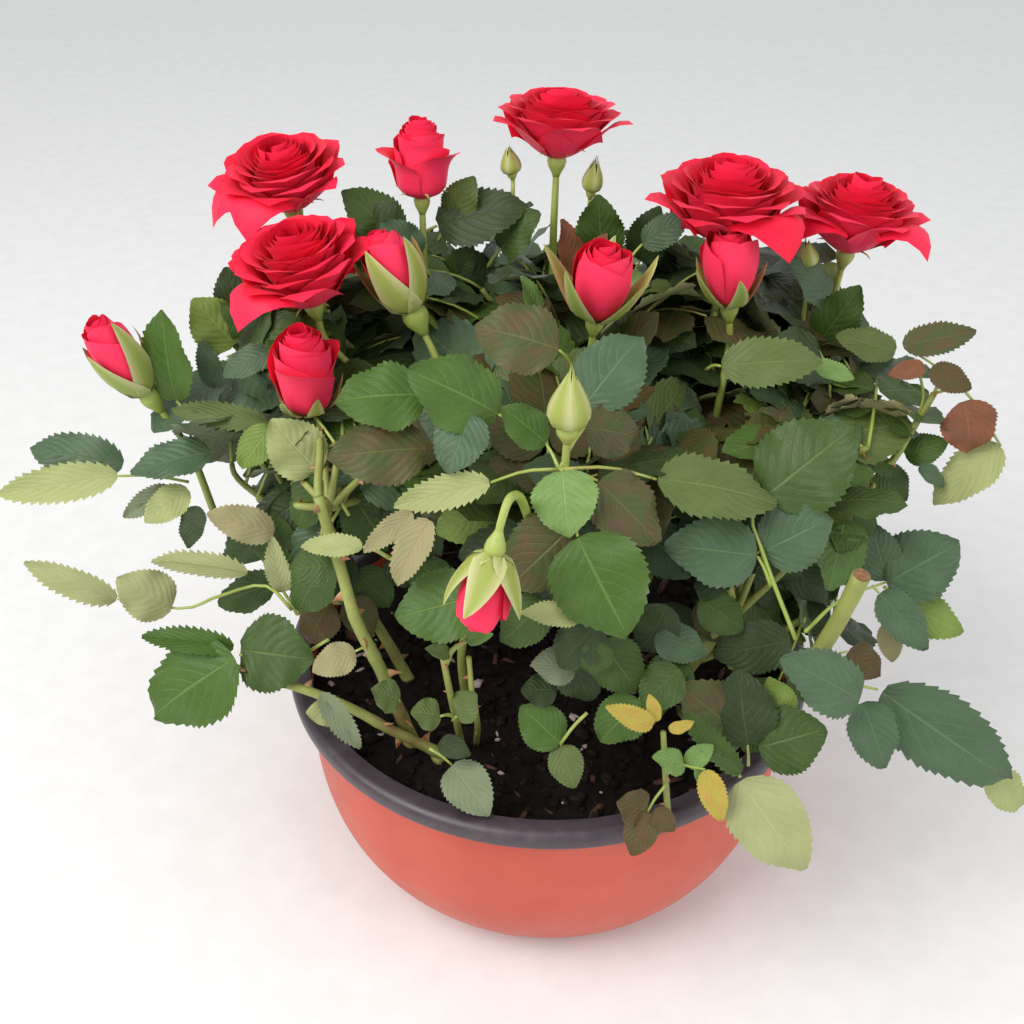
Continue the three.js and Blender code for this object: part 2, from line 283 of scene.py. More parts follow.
def soil_height(x, y):
    """The uneven surface of the soil at a place."""
    share = min(math.hypot(x, y) / SOIL_RADIUS, 1)
    lumps = noise.fractal(Vector((x, y, 0)) * 60, 0.9, 2.1, 4) * 0.0022
    crumbs = abs(noise.noise(Vector((x, y, 0.3)) * 260)) * 0.0022
    return SOIL_LEVEL + SOIL_CROWN * (1 - share ** 2) + (lumps + crumbs) * (1 - share ** 8)


profile = [(0, soil_low.z)]
profile += [(wall_radius(z) - WALL - 0.0004, z) for z in np.linspace(soil_low.z, SOIL_LEVEL, 9)[:-1]]
profile += [(SOIL_RADIUS * (1 - k / SOIL_RINGS), SOIL_LEVEL) for k in range(SOIL_RINGS + 1)]
shape = spun(profile, 132)
for vert in shape.verts:
    if vert.co.z > SOIL_LEVEL - 1e-5:
        vert.co.z = soil_height(vert.co.x, vert.co.y)
soil_mesh = smooth_mesh("soil_bed", shape, math.radians(75))


def bake_arrays(name, coords, loops, totals, uv=None, kinds=None, crease=None):
    """A mesh straight from arrays; loops index coords, face by face."""
    mesh = bpy.data.meshes.new(name)
    mesh.vertices.add(len(coords))
    mesh.vertices.foreach_set("co", np.asarray(coords, np.float32).ravel())
    mesh.loops.add(len(loops))
    mesh.loops.foreach_set("vertex_index", np.asarray(loops, np.int32))
    mesh.polygons.add(len(totals))
    starts = np.concatenate([[0], np.cumsum(totals)[:-1]])
    mesh.polygons.foreach_set("loop_start", starts.astype(np.int32))
    if uv is not None:
        layer = mesh.uv_layers.new(name="OFBake")
        layer.data.foreach_set("uv", np.asarray(uv, np.float32).ravel())
    if kinds is not None:
        mesh.polygons.foreach_set("material_index", np.asarray(kinds, np.int32))
    mesh.update(calc_edges=True)
    mesh.validate()
    mesh.shade_smooth()
    if crease:
        mesh.set_sharp_from_angle(angle=crease)
    return mesh


class Pattern:
    """A small closed shape to be copied many times: points and faces."""

    def __init__(self, shape):
        shape.verts.ensure_lookup_table()
        self.points = np.array([v.co for v in shape.verts])
        self.loops = np.array([v.index for f in shape.faces for v in f.verts])
        self.totals = np.array([len(f.verts) for f in shape.faces])
        self.kinds = np.array([f.material_index for f in shape.faces])
        shape.free()

    def copies(self, name, placed, kinds=None, crease=None):
        """placed holds one array of points for each copy."""
        count = len(placed)
        shift = np.repeat(np.arange(count) * len(self.points), len(self.loops))
        loops = np.tile(self.loops, count) + shift
        totals = np.tile(self.totals, count)
        if kinds is not None:
            kinds = np.repeat(kinds, len(self.totals))
        return bake_arrays(name, np.concatenate(placed), loops, totals, None, kinds, crease)


def frame_round(direction, rng):
    """Three right-angled directions, the last one along direction."""
    along = np.asarray(direction, float)
    along = along / np.linalg.norm(along)
    other = np.array([rng.uniform(-1, 1) for _ in range(3)])
    side = np.cross(along, other)
    side /= np.linalg.norm(side)
    return np.array([side, np.cross(along, side), along])


GOLDEN_TURN = 2.39996      # from one crumb, thorn, petal or leaf to the next
rng = random.Random(11)
shape = bmesh.new()
bmesh.ops.create_icosphere(shape, subdivisions=1, radius=1)
crumb = Pattern(shape)
crumbs, crumb_kinds = [], []
CRUMBS = 1500
for k in range(CRUMBS):
    reach = SOIL_RADIUS * 0.985 * math.sqrt((k + 0.5) / CRUMBS)
    turn = k * GOLDEN_TURN + rng.uniform(-0.3, 0.3)
    x, y = reach * math.cos(turn), reach * math.sin(turn)
    size = 0.0008 + 0.0024 * rng.random() ** 3
    chip = rng.random() < 0.10
    stretch = np.array([rng.uniform(0.7, 1.6), rng.uniform(0.6, 1.2), rng.uniform(0.45, 0.9)])
    if chip:
        stretch = np.array([rng.uniform(2.0, 4.2), rng.uniform(0.7, 1.2), 0.35])
    knobs = np.array([1 + 0.35 * rng.uniform(-1, 1) for _ in crumb.points])[:, None]
    basis = frame_round((rng.uniform(-0.4, 0.4), rng.uniform(-0.4, 0.4), 1), rng)
    crumbs.append((crumb.points * knobs * stretch * size) @ basis
                  + (x, y, soil_height(x, y) + 0.35 * size))
    pale = rng.random()
    crumb_kinds.append(3 if pale < 0.030 else 2 if chip else 1 if pale < 0.45 else 0)


def earth(name, dark, light, scale, roughness):
    material, tree, surface = shader(name)
    place = node(tree, "ShaderNodeTexCoord").outputs["Object"]
    grain = node(tree, "ShaderNodeTexNoise", Vector=place, Scale=scale, Detail=8.0, Roughness=0.7)
    tone = ramp(tree, grain.outputs["Fac"], [(0.32, dark), (0.68, light)])
    tree.links.new(tone, surface.inputs["Base Color"])
    surface.inputs["Roughness"].default_value = roughness
    surface.inputs["Specular IOR Level"].default_value = 0.15
    bump = node(tree, "ShaderNodeBump", Height=grain.outputs["Fac"], Strength=0.7, Distance=0.0012)
    tree.links.new(bump.outputs["Normal"], surface.inputs["Normal"])
    return material


peat = earth("moist_peat", (0.003, 0.0022, 0.002), (0.016, 0.010, 0.008), 240.0, 0.88)
crumb_peat = earth("peat_crumb", (0.009, 0.006, 0.005), (0.034, 0.021, 0.016), 500.0, 0.9)
bark_chip = earth("bark_chip", (0.045, 0.020, 0.014), (0.15, 0.070, 0.048), 420.0, 0.8)
pale_grain = earth("pale_grain", (0.40, 0.30, 0.28), (0.66, 0.52, 0.50), 600.0, 0.85)
as_piece("soil_bed", soil_mesh, ["soil"], [peat])
as_piece("soil_crumbs", crumb.copies("soil_crumbs", crumbs, crumb_kinds), (),
         [peat, crumb_peat, bark_chip, pale_grain])


# ---------------------------------------------------------------------------
# Canes: the woody main stems, from the soil up into the foliage. Young green
# bark, flushed red on the sunny side, with low rings where leaves grew and
# flattened, down-curved red-brown thorns.
# ---------------------------------------------------------------------------

def corners(name):
    """The places of a CAD node's own corners, without repeats."""
    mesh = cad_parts[name].data
    co = np.empty(len(mesh.vertices) * 3, np.float32)
    mesh.vertices.foreach_get("co", co)
    return np.unique(np.round(co.reshape(-1, 3).astype(float), 6), axis=0)


def limb_line(name):
    """Middle line and radii of a limb node, from its lower to its upper end."""
    points = corners(name)
    low, high = points[points[:, 2].argmin()], points[points[:, 2].argmax()]
    chord = (high - low) / np.linalg.norm(high - low)
    share = (points - low) @ chord
    share = (share - share.min()) / (share.max() - share.min())
    line = []
    for start in np.linspace(0, 1, 7)[:-1]:
        ring = points[(share >= start - 1e-6) & (share <= start + 1 / 6 + 1e-6)]
        if len(ring) >= 4:
            middle = ring.mean(0)
            line.append((middle, np.linalg.norm(ring - middle, axis=1).min()))
    return line


def curve_through(points, count):
    """A smooth line through points (Catmull-Rom), evenly sampled."""
    points = [np.asarray(p, float) for p in points]
    padded = [2 * points[0] - points[1], *points, 2 * points[-1] - points[-2]]
    line = []
    for share in np.linspace(0, len(points) - 1, count):
        k = min(int(share), len(points) - 2)
        u = share - k
        a, b, c, d = padded[k:k + 4]
        line.append(0.5 * (2 * b + (c - a) * u + (2 * a - 5 * b + 4 * c - d) * u ** 2
                           + (3 * b - a - 3 * c + d) * u ** 3))
    return np.array(line)


def tubes(name, paths, rounding):
    """One mesh of closed tubes; each path is (points, radii)."""
    curve = bpy.data.curves.new(name, "CURVE")
    curve.dimensions = "3D"
    curve.bevel_depth = 1.0
    curve.bevel_resolution = rounding
    curve.use_fill_caps = True
    for points, radii in paths:
        spline = curve.splines.new("POLY")
        spline.points.add(len(points) - 1)
        for point, place, radius in zip(spline.points, points, radii):
            point.co = (*place, 1)
            point.radius = radius
    holder = bpy.data.objects.new(name, curve)
    bpy.context.collection.objects.link(holder)
    mesh = bpy.data.meshes.new_from_object(holder.evaluated_get(
        bpy.context.evaluated_depsgraph_get()))
    bpy.data.objects.remove(holder)
    bpy.data.curves.remove(curve)
    mesh.name = name
    shape = bmesh.new()
    shape.from_mesh(mesh)
    bmesh.ops.remove_doubles(shape, verts=shape.verts, dist=1e-6)
    bmesh.ops.recalc_face_normals(shape, faces=shape.faces)
    shape.to_mesh(mesh)
    shape.free()
    mesh.shade_smooth()
    return mesh


def unit(vector):
    return vector / np.linalg.norm(vector)


# which cane each mass of foliage grows on
FED_BY = {
    "mass_left_front": "cane_left_front", "mass_left": "cane_left",
    "mass_left_back": "cane_left_back", "mass_centre": "cane_centre",
    "mass_centre_back": "cane_centre_back", "mass_back": "cane_back",
    "mass_right_front": "cane_right_front", "mass_right": "cane_right",
    "mass_right_back": "cane_right_back", "mass_front": "cane_centre",
    "mass_left_low": "cane_left", "mass_right_low": "cane_right_front",
}
CANES = ["cane_left_front", "cane_left", "cane_left_back", "cane_centre", "cane_centre_back",
         "cane_back", "cane_right_front", "cane_right", "cane_right_back", "cane_low_left",
         "cane_young"]
THIN_CANES = {"cane_low_left": (0.0025, 0.0016), "cane_young": (0.0020, 0.0014)}
FOOT_DEPTH = 0.004
NODE_SPACING = 0.021

cane_paths, cane_lines = [], {}
rng = random.Random(23)
noise.seed_set(23)      # noise_vector is otherwise seeded by the clock
for name in CANES:
    line = limb_line(name)
    points = [middle for middle, _ in line]
    top = points[-1] + unit(points[-1] - points[-2]) * 0.022
    points = [points[0] - (0, 0, FOOT_DEPTH), *points, top]
    length = sum(np.linalg.norm(b - a) for a, b in zip(points, points[1:]))
    count = max(12, int(length / 0.0035))
    smooth = curve_through(points, count)
    foot_radius, tip_radius = THIN_CANES.get(name, (0.0031, 0.0021))
    shares = np.linspace(0, 1, count)
    radii = foot_radius + (tip_radius - foot_radius) * shares
    along = shares * length / NODE_SPACING + rng.random()
    radii *= 1 + 0.13 * np.exp(-((along % 1 - 0.5) / 0.07) ** 2)
    radii *= 1 + 0.35 * np.exp(-shares * length / 0.006)
    wobble = np.array([noise.noise_vector(Vector((p[2] * 40, len(cane_lines) * 3.1, 0)))
                       for p in smooth])
    smooth = smooth + wobble * 0.0022 * np.sin(np.pi * shares)[:, None]
    cane_paths.append((smooth, radii))
    cane_lines[name] = (smooth, radii)

STUB_RADIUS = 0.0032
stub_corners = corners("pruned_stub")
stub_corners = stub_corners[stub_corners[:, 2].argsort()]
stub_foot, stub_top = stub_corners[:6].mean(0), stub_corners[-6:].mean(0)
stub_bend = (stub_foot + stub_top) / 2 + (0.0015, 0, 0)
stub = curve_through([stub_foot + (-0.004, 0.010, -0.006), stub_foot, stub_bend, stub_top], 22)
stub_radii = np.full(22, STUB_RADIUS)
stub_radii[-4:] *= 1.06
cane_paths.append((stub, stub_radii))
cane_mesh = tubes("canes", cane_paths, 4)


def stem_material(name, young, flush, pale, roughness):
    """Green bark: a red flush in patches, fine pale streaks and breathing pores."""
    material, tree, surface = shader(name)
    place = node(tree, "ShaderNodeTexCoord").outputs["Object"]
    patch = node(tree, "ShaderNodeTexNoise", Vector=place, Scale=28.0, Detail=3.0)
    tone = ramp(tree, patch.outputs["Fac"], [(0.35, young), (0.60, pale), (0.74, flush)])
    streak_place = node(tree, "ShaderNodeMapping", Vector=place, Scale=(900.0, 900.0, 120.0))
    streak = node(tree, "ShaderNodeTexNoise", Vector=streak_place.outputs["Vector"], Scale=1.0,
                  Detail=4.0)
    shade = node(tree, "ShaderNodeMix")
    shade.data_type = "RGBA"
    shade.blend_type = "MULTIPLY"
    shade.inputs["Factor"].default_value = 0.35
    tree.links.new(tone, shade.inputs[6])
    tree.links.new(streak.outputs["Color"], shade.inputs[7])
    tree.links.new(shade.outputs[2], surface.inputs["Base Color"])
    surface.inputs["Roughness"].default_value = roughness
    bump = node(tree, "ShaderNodeBump", Height=streak.outputs["Fac"], Strength=0.35,
                Distance=0.0004)
    tree.links.new(bump.outputs["Normal"], surface.inputs["Normal"])
    return material


green_bark = stem_material("green_bark", (0.24, 0.27, 0.050), (0.24, 0.12, 0.045),
                           (0.38, 0.42, 0.11), 0.5)
as_piece("canes", cane_mesh, CANES + ["pruned_stub"], [green_bark])

# the brown, dried face of the pruning cut
shape = bmesh.new()
bmesh.ops.create_cone(shape, cap_ends=True, segments=20, radius1=STUB_RADIUS,
                      radius2=0.93 * STUB_RADIUS, depth=0.0008)
bmesh.ops.subdivide_edges(shape, edges=shape.edges[:], cuts=1, use_grid_fill=True)
stub_face = frame_round(stub[-1] - stub[-2], rng)
for vert in shape.verts:
    lift = 0.0002 * noise.noise(vert.co * 900)
    local = np.array(vert.co) + (0, 0, lift)
    vert.co = Vector(local @ stub_face + stub[-1] + unit(stub[-1] - stub[-2]) * 0.0003)
as_piece("pruned_face", smooth_mesh("pruned_face", shape), (), [
    earth("dry_wood", (0.16, 0.075, 0.035), (0.36, 0.21, 0.11), 700.0, 0.8)])

# thorns
shape = bmesh.new()
bmesh.ops.create_cone(shape, cap_ends=True, segments=6, radius1=1.0, radius2=0.04, depth=1.0)
bmesh.ops.translate(shape, verts=shape.verts, vec=(0, 0, 0.5))
ring = bmesh.ops.bisect_plane(shape, geom=shape.verts[:] + shape.edges[:] + shape.faces[:],
                              plane_co=(0, 0, 0.45), plane_no=(0, 0, 1))
for vert in shape.verts:
    hook = vert.co.z ** 2
    vert.co.y -= 0.55 * hook
thorn = Pattern(shape)
thorns = []


def put_thorns(line, radii, spacing, size):
    """Thorns along a stem, each turned by the golden angle from the last."""
    gone, turn = 0.0, rng.uniform(0, 6)
    for k in range(1, len(line)):
        step = line[k] - line[k - 1]
        gone += np.linalg.norm(step)
        if gone < spacing:
            continue
        gone = rng.uniform(-0.35, 0.35) * spacing
        turn += GOLDEN_TURN
        along = unit(step)
        side = unit(np.cross(along, (0.31, 0.87, 0.22)))
        out = side * math.cos(turn) + np.cross(along, side) * math.sin(turn)
        tall = size * rng.uniform(0.7, 1.2)
        basis = np.array([np.cross(along, out) * tall * 0.22, along * tall * 0.5, out * tall])
        thorns.append(thorn.points @ basis + line[k] + out * radii[k] * 0.85)


for name, (line, radii) in cane_lines.items():
    if name != "cane_young":
        put_thorns(line, radii, 0.0095, 0.0046)


# ---------------------------------------------------------------------------
# Flowers: five open double blooms, two half-open ones and five red buds, each
# on its own stalk. Velvety petals grow in a spiral at the golden angle: the
# inner ones wrapped tight, the outer ones bent out, with rolled edges.
# ---------------------------------------------------------------------------

FIFTH_TURN = 1.2566        # from one sepal to the next


def sheet_pattern(across, along, toothed):
    """A thin closed leaf-like sheet in its own terms: x is the share across,
    y the share along, z the side; its edge is shared by face and back."""
    shape = bmesh.new()
    bmesh.ops.create_grid(shape, x_segments=across, y_segments=along, size=1)
    if toothed:
        sides = [e for e in shape.edges if e.is_boundary
                 and all(abs(v.co.x) > 0.999 for v in e.verts)]
        for edge in sides:
            low, high = sorted((v.co.copy() for v in edge.verts), key=lambda co: co.y)
            grown = bmesh.ops.extrude_edge_only(shape, edges=[edge])["geom"]
            tip = (low + high) / 2 + (high - low) * 0.38
            tip.x *= 2
            bmesh.ops.pointmerge(shape, verts=[g for g in grown if isinstance(g, bmesh.types.BMVert)],
                                 merge_co=tip)
    for vert in shape.verts:
        tip = abs(vert.co.x) > 1.5 or abs(vert.co.y) > 0.999
        vert.co.z = 0 if tip or (vert.is_boundary and not toothed) else 1
    back = bmesh.ops.duplicate(shape, geom=shape.verts[:] + shape.edges[:] + shape.faces[:])
    back_faces = [g for g in back["geom"] if isinstance(g, bmesh.types.BMFace)]
    bmesh.ops.reverse_faces(shape, faces=back_faces)
    for face in back_faces:
        face.material_index = 1
    for vert in (g for g in back["geom"] if isinstance(g, bmesh.types.BMVert)):
        vert.co.z = -vert.co.z
    bmesh.ops.remove_doubles(shape, verts=shape.verts, dist=1e-5)
    slits = bmesh.ops.holes_fill(shape, edges=[e for e in shape.edges if e.is_boundary], sides=4)
    for slit in slits["faces"]:
        notch = [v for v in slit.verts if abs(v.co.z) > 0.5]
        if len(notch) == 2:
            bmesh.ops.connect_verts(shape, verts=notch)
    bmesh.ops.recalc_face_normals(shape, faces=shape.faces)
    shape.normal_update()
    if sum(f.normal.z for f in shape.faces if f.material_index == 0) < 0:
        bmesh.ops.reverse_faces(shape, faces=shape.faces)
    sheet = Pattern(shape)
    sheet.tooth = (np.abs(sheet.points[:, 0]) > 1.5).astype(float)
    sheet.across = np.clip(sheet.points[:, 0], -1, 1)
    sheet.along = (sheet.points[:, 1] + 1) / 2
    sheet.side = sheet.points[:, 2]
    return sheet


CELLS = 4          # each finish has its own cell of the sheet's map


def sheets_mesh(name, sheet, placed, face_kinds, back_kinds, crease):
    """Joins sheets; each takes the map cells of its two finishes."""
    count = len(placed)
    shift = np.repeat(np.arange(count) * len(sheet.points), len(sheet.loops))
    loops = np.tile(sheet.loops, count) + shift
    totals = np.tile(sheet.totals, count)
    back = np.tile(sheet.kinds, count)
    kinds = np.where(back == 1, np.repeat(back_kinds, len(sheet.kinds)),
                     np.repeat(face_kinds, len(sheet.kinds)))
    local = np.stack([0.5 + 0.44 * sheet.across * (1 + 0.06 * sheet.tooth),
                      0.05 + 0.90 * sheet.along], 1)
    uv = np.tile(local[sheet.loops], (count, 1))
    of_loop = np.repeat(kinds, totals)
    cell = np.stack([of_loop % CELLS, of_loop // CELLS], 1)
    return bake_arrays(name, np.concatenate(placed), loops, totals, (uv + cell) / CELLS,
                       kinds, crease)


def own_cell(tree, kind):
    """Puts the sheet's map back to 0..1 over each sheet of one finish."""
    uv = node(tree, "ShaderNodeUVMap")
    uv.uv_map = "OFBake"
    place = node(tree, "ShaderNodeMapping", Vector=uv.outputs["UV"], Scale=(CELLS, CELLS, 1),
                 Location=(-(kind % CELLS), -(kind // CELLS), 0))
    return place.outputs["Vector"]


def faced(sheet, shape_of, thickness):
    """Points of a sheet whose middle surface is shape_of(across, along)."""
    step = 0.02
    s, t = sheet.across, sheet.along
    middle = shape_of(s, t)
    ds = shape_of(s + step, t) - shape_of(s - step, t)
    dt = shape_of(s, t + step) - shape_of(s, t - step)
    normal = np.cross(ds, dt)
    normal /= np.maximum(np.linalg.norm(normal, axis=1, keepdims=True), 1e-12)
    return middle + normal * (sheet.side * thickness / 2)[:, None]


def mix(a, b, share):
    return a + (b - a) * share


# lean of a petal's middle line off upright, in degrees, from its foot to its rim,
# for the innermost, the middle and the outermost petal
PETAL_PLACES = (-0.1, 0.0, 0.40, 0.70, 1.0, 1.1)
PETAL_AGES = (0.0, 0.5, 1.0)
PETAL_LEANS = ((34, 30, 4, -12, -2, 0), (66, 60, 24, 10, 84, 100), (70, 64, 42, 44, 116, 128))
DROOPING_LEANS = (70, 66, 62, 100, 152, 165)


def open_petal(sheet, age, turn, wide, tall, droops, rng):
    """A petal of an open bloom, round its own +Z axis; age 0 is the innermost.
    It rises as a cup and its rim rolls outwards, more so on the outer ones."""
    reach = wide / 2 * mix(0.13, 1.04, age ** 0.80) * rng.uniform(0.93, 1.03)
    top = tall * mix(1.0, 0.50, age ** 0.95) * rng.uniform(0.96, 1.03)
    fine = np.linspace(-0.1, 1.1, 61)
    leans = [np.interp(age, PETAL_AGES, column) for column in zip(*PETAL_LEANS)]
    if droops:
        leans, reach = DROOPING_LEANS, reach * 1.08
    lean = np.radians(np.interp(fine, PETAL_PLACES, leans) + rng.uniform(-5, 5) * fine)
    run_r = np.concatenate([[0], np.cumsum(np.sin(lean[:-1]))])
    run_z = np.concatenate([[0], np.cumsum(np.cos(lean[:-1]))])
    run_r -= np.interp(0, fine, run_r)
    run_z -= np.interp(0, fine, run_z)
    start = wide * mix(0.02, 0.05, age)
    run_r *= (reach - start) / np.interp(1.0, fine, run_r)
    run_z *= top / run_z.max()
    half_turn = math.radians(mix(125, 41, age ** 0.6) + rng.uniform(-4, 4))
    roll = wide * 0.13 * age ** 1.2
    swirl = wide * mix(0.030, 0.018, age)
    ripple, phase = wide * 0.008, rng.uniform(0, 6.28)
    point, sharpness = mix(0.05, 0.44, age ** 1.3), mix(2.0, 1.15, age)

    def shape_of(s, t):
        edge = np.abs(s)
        along = t * (1 - point * edge ** sharpness * np.clip(t, 0, 1))
        curl = roll * np.clip(edge - 0.32, 0, 1) ** 1.3 * t ** 2
        r = start + np.interp(along, fine, run_r) + swirl * s * t + curl * 0.2
        z = np.interp(along, fine, run_z) - curl + ripple * np.sin(3.5 * s + phase) * t ** 2
        phi = turn + s * half_turn * (0.55 + 0.45 * np.sqrt(np.clip(t, 0, 1)))
        return np.stack([r * np.cos(phi), r * np.sin(phi), z], 1)

    return faced(sheet, shape_of, 0.00035)


def bud_radius(high, wide, opening=0.0):
    """Outside radius of a closed flower at a share of its height."""
    full = 0.47 - 0.14 * opening ** 2.2
    bottom, rise = mix(0.10, 0.34, opening), mix(0.66, 0.36, opening)
    closing_in = np.sqrt(np.clip(0.10 + high * mix(20.0, 7.0, opening), 0.10, 1))
    return full * wide * closing_in * np.sin(np.pi * np.clip(bottom + rise * high, 0.02, 0.98))


def closed_petal(sheet, age, turn, wide, tall, opening, flares, rng):
    """A petal of a bud or half-open flower, wrapped round its +Z axis; a few of
    the outermost flare out from the body at their rims."""
    top = tall * mix(1.0, mix(0.92, 0.64, opening), age ** 1.3) * rng.uniform(0.97, 1.03)
    layer = mix(0.30, 1.0, age ** 0.75)
    half_turn = math.radians(mix(165, 78, age) + rng.uniform(-5, 5))
    flare = wide * opening * (0.26 if flares else 0.05 * age)
    swirl = wide * mix(0.04, 0.075, age)
    phase = rng.uniform(0, 6.28)
    point = mix(0.10, 0.24, age) + (0.14 if flares else 0)
    roll = wide * 0.030 * age * (0.4 + opening)

    def shape_of(s, t):
        edge = np.abs(s)
        reach = np.clip(t, -0.1, 1.1) * (1 - point * edge ** 1.6 * np.clip(t, 0, 1))
        high = reach * top / tall
        late = np.clip((reach - 0.45) / 0.55, 0, 1.2) ** 2.2
        rim = np.clip((reach - 0.86) / 0.14, 0, 1.3) ** 2
        r = layer * bud_radius(high, wide, opening) + swirl * s * np.clip(t, 0, 1)
        r = r + flare * late + roll * rim + 0.12 * flare * np.sin(3 * s + phase) * late
        z = high * tall - 0.30 * flare * late * (1 + edge ** 2) - 0.8 * roll * rim
        phi = turn + s * half_turn * (1 - (0.42 if flares else 0.18) * late * age)
        return np.stack([r * np.cos(phi), r * np.sin(phi), z], 1)

    return faced(sheet, shape_of, 0.00035)


def head_line(name, hangs=False):
    """Foot and tip of a flower head: the corners at its ends where most faces meet."""
    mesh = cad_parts[name].data
    spots = {}
    for face in mesh.polygons:
        for v in face.vertices:
            key = tuple(round(c, 5) for c in mesh.vertices[v].co)
            spots.setdefault(key, set()).add(face.index)
    bottom = min(key[2] for key in spots)
    height = max(key[2] for key in spots) - bottom
    near_top = 0.35 if name.startswith("bloom") else 0.12
    low = [key for key in spots if key[2] < bottom + 0.12 * height]
    high = [key for key in spots if key[2] > bottom + (1 - near_top) * height]
    ends = [max(part, key=lambda key: len(spots[key])) for part in (low, high)]
    if hangs:
        ends.reverse()
    return np.array(ends[0]), np.array(ends[1])


petal_sheet = sheet_pattern(8, 10, False)
sepal_sheet = sheet_pattern(4, 8, False)
petals, petal_outsides, petal_insides = [], [], []
sepals, sepal_kinds = [], []
hips = []
flower_heads = []
flower_feet = {}

# the hip is an urn, wide at its shoulder and drawn in where the stalk joins
urn = Pattern(spun([(0, -1.0), (0.34, -1.0), (0.52, -0.62), (0.86, -0.10), (1.0, 0.38),
                    (0.90, 0.80), (0.60, 1.0), (0, 1.0)], 12))


def reflexed_sepal(turn, lean_tip, length, hip_size, rng):
    """A narrow pointed sepal bent back below an open bloom."""
    lean_foot = math.radians(30)
    lean_end = math.radians(lean_tip)
    length = length * rng.uniform(0.85, 1.1)
    fine = np.linspace(-0.1, 1.1, 41)
    lean = lean_foot + (lean_end - lean_foot) * np.clip(fine, 0, 2)
    run_r = np.concatenate([[0], np.cumsum(np.sin(lean[:-1]) * np.diff(fine))])
    run_z = np.concatenate([[0], np.cumsum(np.cos(lean[:-1]) * np.diff(fine))])
    foot = np.interp(0, fine, run_r), np.interp(0, fine, run_z)
    half_width = length * 0.15
    twist = rng.uniform(-0.5, 0.5)

    def shape_of(s, t):
        r = hip_size * 0.7 + length * (np.interp(t, fine, run_r) - foot[0])
        z = length * (np.interp(t, fine, run_z) - foot[1])
        body = np.clip(1 - t, 0, 1) ** 0.8 * np.clip(0.35 + 2.6 * t, 0, 1) + 0.03
        side = s * half_width * body
        turned = twist * t
        across = side * np.cos(turned)
        out = r - 0.35 * np.abs(side) + side * np.sin(turned)
        return np.stack([out * np.cos(turn) - across * np.sin(turn),
                         out * np.sin(turn) + across * np.cos(turn), z], 1)

    return faced(sepal_sheet, shape_of, 0.0004)


def hugging_sepal(turn, length, half_width, radius_at, tall, away, rng, shut=0.0):
    """A sepal that lies on a bud whose outside is radius_at(share of tall); away
    bends its tip off the bud, and shut is the share of a fifth of it kept covered."""
    length = length * rng.uniform(0.86, 1.12)
    lift = away * rng.uniform(0.7, 1.3)
    tip_turn = rng.uniform(-0.25, 0.25)

    def shape_of(s, t):
        high = np.clip(t, -0.1, 1.1) * length * (1 - 0.28 * lift * np.clip(t, 0, 1)) / tall
        out = lift * length * 0.62 * np.clip(t, 0, 1.1) ** 1.7
        r = radius_at(np.clip(high, 0, 1)) * 1.03 + 0.0007 + out
        body = np.clip(1 - t, 0, 1) ** 0.8 * np.clip(0.70 + 1.8 * t, 0, 1) + 0.03
        side = s * np.maximum(half_width * body, shut * 0.66 * r)
        r = r + 0.10 * np.abs(side) * (1 + 2 * lift) * (1 - shut)
        phi = turn + side / np.maximum(r, 0.0025) + tip_turn * t ** 2
        return np.stack([r * np.cos(phi), r * np.sin(phi), high * tall], 1)

    return faced(sepal_sheet, shape_of, 0.0004)


def flower(name, petal_count, opening, hip, sepal, rng, hangs=False, drooping=(),
           spread=1.0, foot_off=(0, 0, 0), tip_off=(0, 0, 0)):
    """Petals, hip and sepals of one flower, standing where its solid does.
    hip is (radius, half height); sepal is (length, half width, away); the offsets,
    in mm, set its foot and its tip off the solid's."""
    foot, tip = head_line(name, hangs)
    foot, tip = foot + np.array(foot_off) / 1000, tip + np.array(tip_off) / 1000
    axis = unit(tip - foot)
    tall = np.linalg.norm(tip - foot)
    low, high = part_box(name)
    wide = max(high.x - low.x, high.y - low.y) * spread
    if opening == 1:
        middle = (foot + tip) / 2
        axis = unit(mix(axis, np.array([0.0, 0.0, 1.0]), 0.5))
        wide = 1.04 * (high.x - low.x) * spread
        foot, tip = middle - axis * tall / 2, middle + axis * tall / 2
    basis = frame_round(axis, rng)
    flower_heads.append((name, foot, tip, wide))
    flower_feet[name] = foot - axis * hip[1] * 1.7, axis
    start_turn = rng.uniform(0, 6.28)
    ages = [(k + 0.5) / petal_count for k in range(petal_count)]
    turns = [start_turn + k * GOLDEN_TURN + rng.uniform(-0.12, 0.12) for k in range(petal_count)]
    droops = [False] * petal_count
    for bearing in drooping:
        toward = np.array([math.cos(bearing), math.sin(bearing), 0])
        ages.append(1.0)
        turns.append(math.atan2(basis[1] @ toward, basis[0] @ toward))
        droops.append(True)
    for age, turn, droop in zip(ages, turns, droops):
        if opening == 1:
            local = open_petal(petal_sheet, age, turn, wide, tall, droop, rng)
        else:
            flares = opening > 0.5 and age > 1 - 3.0 / petal_count
            local = closed_petal(petal_sheet, age, turn, wide, tall, opening, flares, rng)
        petals.append(local @ basis + foot)
        # outsides: the middle red on inner petals, the palest on outer ones (painted highlight);
        # insides: the darkest on the innermost and on some others at random (painted shade)
        petal_outsides.append(1 if age < 0.5 else 2)
        petal_insides.append(0 if age < 0.3 or rng.random() < 0.4 else 1)
    hips.append(urn.points * (hip[0], hip[0], hip[1]) @ basis + foot - axis * hip[1] * 0.7)
    length, half_width, away = sepal
    for k in range(5):
        turn = start_turn + k * FIFTH_TURN + rng.uniform(-0.15, 0.15)
        if away is None:
            made = reflexed_sepal(turn, 118 + rng.uniform(-14, 14), length, hip[0], rng)
        else:
            made = hugging_sepal(turn, length, half_width,
                                 lambda share: bud_radius(share, wide, opening), tall, away, rng)
        sepals.append(made @ basis + foot - axis * 0.0008)
        sepal_kinds.append(rng.choice((4, 4, 5)))


